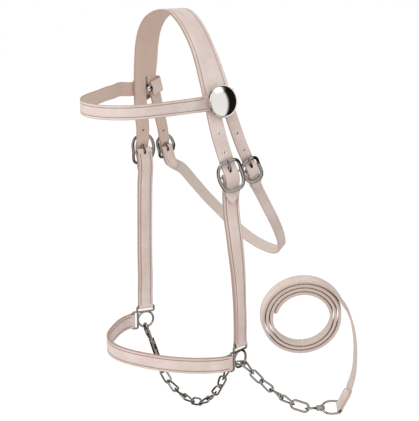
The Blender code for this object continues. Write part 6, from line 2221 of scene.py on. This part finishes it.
@dataclass
class BoltSnap:
    """A bolt snap: cast hook and barrel, a sliding bolt with a knob, and a swivel eye."""

    seat: Seat
    eye_out: Array
    hook: Table = ((-3.0, -27.0), (-5.8, -21.5), (-9.6, -16.5), (-11.4, -11.0), (-10.9, -6.0),
                   (-8.6, -1.9), (-5.0, 0.0), (-1.6, -1.5), (-0.2, -4.6), (0.0, -8.6))
    barrel: float = 4.2
    top: float = -24.0
    foot: float = -59.0
    bolt: float = 1.9
    travel: float = 8.0
    collar: float = 4.0
    eye_wire: float = 1.5
    eye: Table = ((-2.6, -2.6), (-5.2, -6.2), (-6.4, -10.5), (-4.9, -15.6), (0.0, -18.2),
                  (4.9, -15.6), (6.4, -10.5), (5.2, -6.2), (2.6, -2.6))

    @staticmethod
    def upright(grid: Array) -> Array:
        """A turned grid with its axis laid along up: (x, z, y)."""
        return grid[..., (0, 2, 1)]

    def flat_line(self, table: Table, shift: float = 0.0) -> Array:
        """A smooth line in the plane of side and up, through points in millimetres."""
        points = np.array(table, float)
        return smooth_line(np.column_stack((points[:, 0], points[:, 1] + shift, np.zeros(len(points)))), 0.7)

    def body_piece(self, nickel: Finish) -> Piece:
        """The barrel with its beads and stem, joined by the tapering hook; bored and slotted.

        Args:
            nickel: Its finish.

        Returns:
            The finished piece.
        """
        shell = Shell()
        head_top = self.foot - 5.0 - 0.6
        head_foot = head_top - 1.8
        profile = [(0.0, head_foot), (2.3, head_foot), (2.6, head_foot + 0.6), (2.6, head_top),
                   (1.5, head_top), (1.5, self.foot)]
        profile += [(radius, self.foot + up) for radius, up in (
            (3.6, 0.0), (4.2, 0.7), (4.2, 2.2), (3.7, 2.8), (3.7, 3.6), (4.15, 4.4))]
        profile += [(self.barrel, -40.0)] + [(radius, self.top - down) for radius, down in (
            (4.15, 4.4), (3.7, 3.6), (3.7, 2.9), (4.2, 2.3), (4.2, 0.8), (3.5, 0.0), (0.0, 0.0))]
        profile = soft_profile(profile, 0.35)
        shell.grid(self.seat.put(self.upright(turned(profile, 48))))
        barrel = shell.piece("snap_body_cast", nickel)
        bore = Shell()
        tail = self.top - 14.0
        wide = self.bolt + 0.3
        grid = turned([(wide, tail - self.travel - 0.6), (wide, self.top + 4.0)], 32)
        bore.solid(self.seat.put(self.upright(grid)))
        punch(barrel, bore)
        slot = Shell()
        knob, half = self.top - 8.0, 1.8
        middle = (knob + knob - self.travel) / 2
        axes = self.seat.axes()
        oval = ((self.travel / 2 + half) * MM, half * MM)
        punch_shape(slot, self.seat.at(5.0, middle, 0.0), axes[1], axes[2], oval, 0.0, 6.0, 4.2 * MM)
        punch(barrel, slot)
        line = self.flat_line(self.hook)
        t = np.linspace(0.0, 1.0, len(line))
        radii = 2.05 - 0.25 * ease(0.75, 1.0, t) + 0.15 * np.sin(math.pi * np.clip(t / 0.5, 0, 1))
        hook = Shell()
        add_rod(hook, self.seat.put(line * MM), radii * MM, axes[2], 20, 0.35)
        hook_piece = hook.piece("snap_hook_cast", nickel)
        joined = bmesh.new()
        joined.from_mesh(barrel.data)
        joined.from_mesh(hook_piece.data)
        joined.to_mesh(barrel.data)
        joined.free()
        bpy.data.objects.remove(hook_piece)
        barrel.data.set_sharp_from_angle(angle=SHARP_EDGE)
        return barrel

    def bolt_piece(self, nickel: Finish) -> Piece:
        """The bolt and the knob that draws it back.

        Args:
            nickel: Its finish.

        Returns:
            The finished piece.
        """
        tip = self.hook[-1][1] - 0.3
        profile = soft_profile([(0.0, self.top - 14.0), (self.bolt, self.top - 14.0), (self.bolt, tip - 0.8),
                                (self.bolt - 0.6, tip), (0.0, tip)], 0.3)
        shell = Shell()
        shell.grid(self.seat.put(self.upright(turned(profile, 32))))
        knob = soft_profile([(0.0, 0.0), (1.5, 0.0), (1.5, 4.6), (2.2, 4.9), (2.4, 5.6), (2.4, 6.6),
                             (1.9, 7.4), (0.0, 7.4)], 0.35)
        grid = turned(knob, 28)[..., (2, 1, 0)] + np.array((0.0, (self.top - 8.0) * MM, 0.0))
        shell.grid(self.seat.put(grid))
        return shell.piece("snap_bolt_turned", nickel)

    def eye_piece(self, nickel: Finish) -> Piece:
        """The swivel's collar, bored for the stem, and the eye that holds the chain.

        Args:
            nickel: Its finish.

        Returns:
            The finished piece.
        """
        seat = Seat(self.seat.place, self.seat.up, self.eye_out)
        top = self.foot - 0.3
        low = top - 5.0
        profile = soft_profile([
            (1.8, low + 0.2), (1.8, top), (3.4, top), (self.collar, top - 0.6), (self.collar, low + 0.6),
            (3.4, low), (3.1, low), (3.1, low + 0.2), (1.8, low + 0.2)], 0.25)
        shell = Shell()
        shell.grid(seat.put(self.upright(turned(profile, 40))))
        line = self.flat_line(self.eye, self.foot)
        add_rod(shell, seat.put(line * MM), self.eye_wire * MM, seat.axes()[2], 16, 0.3)
        return shell.piece("snap_eye_cast", nickel)


@dataclass
class LeadSwivel:
    """The lead's swivel: a ring eye with a riveted stem, turning in the collar of the strap's loop."""

    roll: float = BIG_LINK_ROLL - 90.0
    eye_radius: float = 6.3
    eye_wire: float = 1.5
    collar: float = 4.0
    collar_start: float = 12.8
    collar_end: float = 22.0
    bar: float = LOOP_BAR
    wire: float = 1.5
    half: float = 10.1

    def _put(self, axes: Array, points: Array) -> Array:
        """Points given along the axis first, in the row frame."""
        return np.array(SWIVEL_PLACE) * MM + points @ axes

    def eye_piece(self, nickel: Finish) -> Piece:
        """The round eye and its stem, riveted inside the collar.

        Args:
            nickel: Its finish.

        Returns:
            The finished piece.
        """
        axes = rolled_axes(SWIVEL_AXIS, self.roll)
        centre = self.eye_radius - self.eye_wire - 0.45
        v = np.linspace(0.0, 2 * math.pi, 64, endpoint=False)
        circle = self.eye_radius * np.column_stack((np.cos(v), np.sin(v), np.zeros(64))) + (centre, 0, 0)
        shell = Shell()
        shell.grid(tube(self._put(axes, circle * MM), self.eye_wire * MM, axes[2], True, 18), closed=True)
        start, head = centre + self.eye_radius, self.collar_end + 0.3
        profile = soft_profile([
            (0.0, start), (2.3, start + 0.4), (1.9, start + 1.3), (1.5, start + 1.7), (1.5, head),
            (2.6, head), (2.6, head + 1.2), (1.8, head + 1.8), (0.0, head + 1.8)], 0.3)
        shell.grid(self._put(axes, turned(profile, 32)[..., (2, 0, 1)]))
        return shell.piece("lead_swivel_eye_cast", nickel)

    def loop_piece(self, nickel: Finish) -> Piece:
        """The collar and the flat loop whose far bar holds the strap.

        Args:
            nickel: Its finish.

        Returns:
            The finished piece.
        """
        along = unit(SWIVEL_AXIS)
        bar = square_to(LOOP_BAR_WAY, along)
        axes = np.array((along, bar, np.cross(along, bar)))
        first, last = self.collar_start, self.collar_end
        profile = soft_profile([
            (1.8, first), (3.4, first), (self.collar, first + 0.7), (3.75, first + 2.6),
            (3.75, last - 2.6), (self.collar, last - 0.7), (3.4, last), (3.1, last), (3.1, last - 0.2),
            (1.8, last - 0.2), (1.8, first)], 0.3)
        shell = Shell()
        shell.grid(self._put(axes, turned(profile, 40)[..., (2, 0, 1)]))
        side = [(last - 5.0, 2.4), (last - 1.0, 4.6), (last + 3.5, self.half - 1.4), (last + 7.0, self.half),
                (self.bar - 4.0, self.half), (self.bar - 0.6, self.half - 0.6), (self.bar, self.half - 3.0)]
        points = np.array([(x, -y, 0.0) for x, y in side] + [(x, y, 0.0) for x, y in side[::-1]])
        line = smooth_line(points, 0.8)
        add_rod(shell, self._put(axes, line * MM), self.wire * MM, axes[2], 16, 0.3)
        return shell.piece("lead_swivel_loop_cast", nickel)


def build_leather(lines: StrapLines) -> None:
    """Build every strap and its stitches along the lines.

    Args:
        lines: The straps' middle lines.
    """
    creased = RussetLeather("russet strap leather, vegetable tanned, creased and waxed").build()
    sewn = RussetLeather("russet strap leather, doubled and machine stitched", crease_at_mm=3.4,
                         crease_width_mm=1.5).build()
    band = RussetLeather("russet browband leather, creased close to the edge", crease_at_mm=3.3).build()
    supple = RussetLeather(
        "supple latigo leather, oiled and pulled soft", grain="E6D7D0", grain_deep="D9C5BB", flesh="C8B8AD",
        flesh_pale="D6C9C0", edge="CDB9AE", crease_at_mm=2.9, crease_width_mm=0.8, roughness=0.52).build()
    thread = WaxedThread("waxed linen thread, twisted and hammered flat").build()
    Hand("halter", "crown_strap", ("crown_strap",)).take(Crown(lines).build(creased))
    browband = Browband(lines.band, (lines.posts[Side.FAR], lines.posts[Side.NEAR]))
    Hand("halter", "browband", ("browband",)).take(browband.build(band))
    near, far = lines.cheeks[Side.NEAR], lines.cheeks[Side.FAR]
    straps = (
        DoubledStrap("cheek_near", near, 22.0 * MM, CHEEK_THICK * MM, "near_front"),
        DoubledStrap("cheek_far", far, 22.0 * MM, CHEEK_THICK * MM, "far_front"),
        DoubledStrap("noseband_strap", lines.nose, 21.5 * MM, 5.2 * MM),
    )
    for strap, node in zip(straps, ("cheek_strap_near", "cheek_strap_far", "noseband")):
        leather, stitches = strap.build(sewn, thread)
        Hand("halter", node, (node,)).take(leather)
        Hand("halter", node).take(stitches)
    leather, stitches = Throatlatch(lines.throat).build(supple, thread)
    Hand("halter", "throatlatch", ("throatlatch",)).take(leather)
    Hand("halter", "throatlatch").take(stitches)
    leather, stitches = LeadStrap().build(supple, thread)
    Hand("lead", "lead_strap", ("lead_strap", "lead_coil")).take(leather)
    Hand("lead", "lead_strap").take(stitches)


def snap_seat() -> Seat:
    """The snap's frame: it hangs in the far ring's foot, its hook across the wire.

    Returns:
        A seat on the barrel's axis, level with the hook's top.
    """
    ring, (beside, above) = RINGS[Side.FAR], HOOK_SEAT
    wire = ring.at(0, -RING_RADIUS, 0) / MM
    hung = Seat(wire, wire - SNAP_FOOT, -ring.rear())
    return Seat(hung.at(beside, above, 0) / MM, hung.up, hung.out)


def build_metal(lines: StrapLines) -> None:
    """Build every nickel fitting and the chains.

    Args:
        lines: The straps' middle lines.
    """
    # The cast fittings' and the chain's tints are darker than nickel's own, painted shade standing for dark
    # reflections; the pressed discs keep a pale tint
    cast = NickelPlate("bright nickel plate on polished cast brass").build()
    pressed = NickelPlate("bright nickel plate on pressed brass, buffed", "E6E3DF", 0.05, 0.06).build()
    chain = NickelPlate("nickel plate on tumbled steel wire", "A29B94", 0.14, dimple=0.06).build()
    for name, (seat, size) in BUCKLES.items():
        buckle = Buckle("buckle_frame_" + name, seat, size)
        Hand("halter", "buckle_" + name, ("buckle_" + name,)).take(buckle.frame_piece(cast))
        Hand("tongue_" + name, "tongue_" + name, ("tongue_" + name,)).take(buckle.tongue_piece(cast))
    for side in Side:
        dome, screw = Disc(side, *lines.disc_seat(side)).build(pressed)
        ring = RingFitting(side).build(cast)
        for piece, node in ((dome, "concho_"), (screw, "concho_screw_"), (ring, "halter_ring_")):
            Hand("halter", node + side.value, (node + side.value,)).take(piece)
    link, big = ChainLink(), ChainLink(29.0, 15.0, 1.5, 0.0)
    seat = snap_seat()
    chin = hung_points(seat.at(0, SNAP_HANG, 0) / MM, CHIN_ROUTE, CHIN_END, [link.pitch] * len(CHIN_ROLLS))
    snap = BoltSnap(seat, -rolled_axes(chin[1] - chin[0], CHIN_ROLLS[0] - link.twist / 2)[1])
    Hand("snap", "snap_body", ("snap_body",)).take(snap.body_piece(cast))
    Hand("snap_bolt", "snap_bolt", ("snap_bolt",)).take(snap.bolt_piece(cast))
    Hand("chin_chain", "snap_eye", ("snap_eye",)).take(snap.eye_piece(cast))
    swivel = LeadSwivel()
    Hand("lead_swivel", "lead_swivel_eye", ("lead_swivel_eye",)).take(swivel.eye_piece(cast))
    Hand("lead", "lead_swivel_loop", ("lead_swivel_loop",)).take(swivel.loop_piece(cast))
    for number, roll in enumerate(CHIN_ROLLS):
        node = "chin_link_%d" % (number + 1)
        piece = link.build(node + "_wire", chin[number], chin[number + 1], roll, chain)
        Hand("chin_chain", node, (node,)).take(piece)
    reach = unit(RING_LINK_ALONG) * link.pitch / 2
    Hand("halter", "ring_link", ("ring_link",)).take(
        link.build("ring_link_wire", RING_LINK_PLACE - reach, RING_LINK_PLACE + reach, RING_LINK_ROLL, chain))
    pitches = [link.pitch] * len(LEAD_ROLLS) + [big.pitch]
    lead = hung_points(LEAD_START, LEAD_CHAIN_ROUTE, SWIVEL_PLACE, pitches)
    for number, roll in enumerate(LEAD_ROLLS):
        node = "lead_link_%d" % (number + 1)
        piece = link.build(node + "_wire", lead[number], lead[number + 1], roll, chain)
        Hand(node, node, (node,)).take(piece)
    Hand("lead_end_link", "lead_end_link", ("lead_end_link",)).take(
        big.build("lead_end_link_wire", lead[-2], lead[-1], BIG_LINK_ROLL, chain))


def main() -> None:
    """Set up the room, build the leather and the metal."""
    logging.basicConfig(level=logging.INFO, format="%(message)s")
    Studio().build()
    lines = StrapLines()
    build_leather(lines)
    build_metal(lines)


if __name__ == "__main__":
    main()
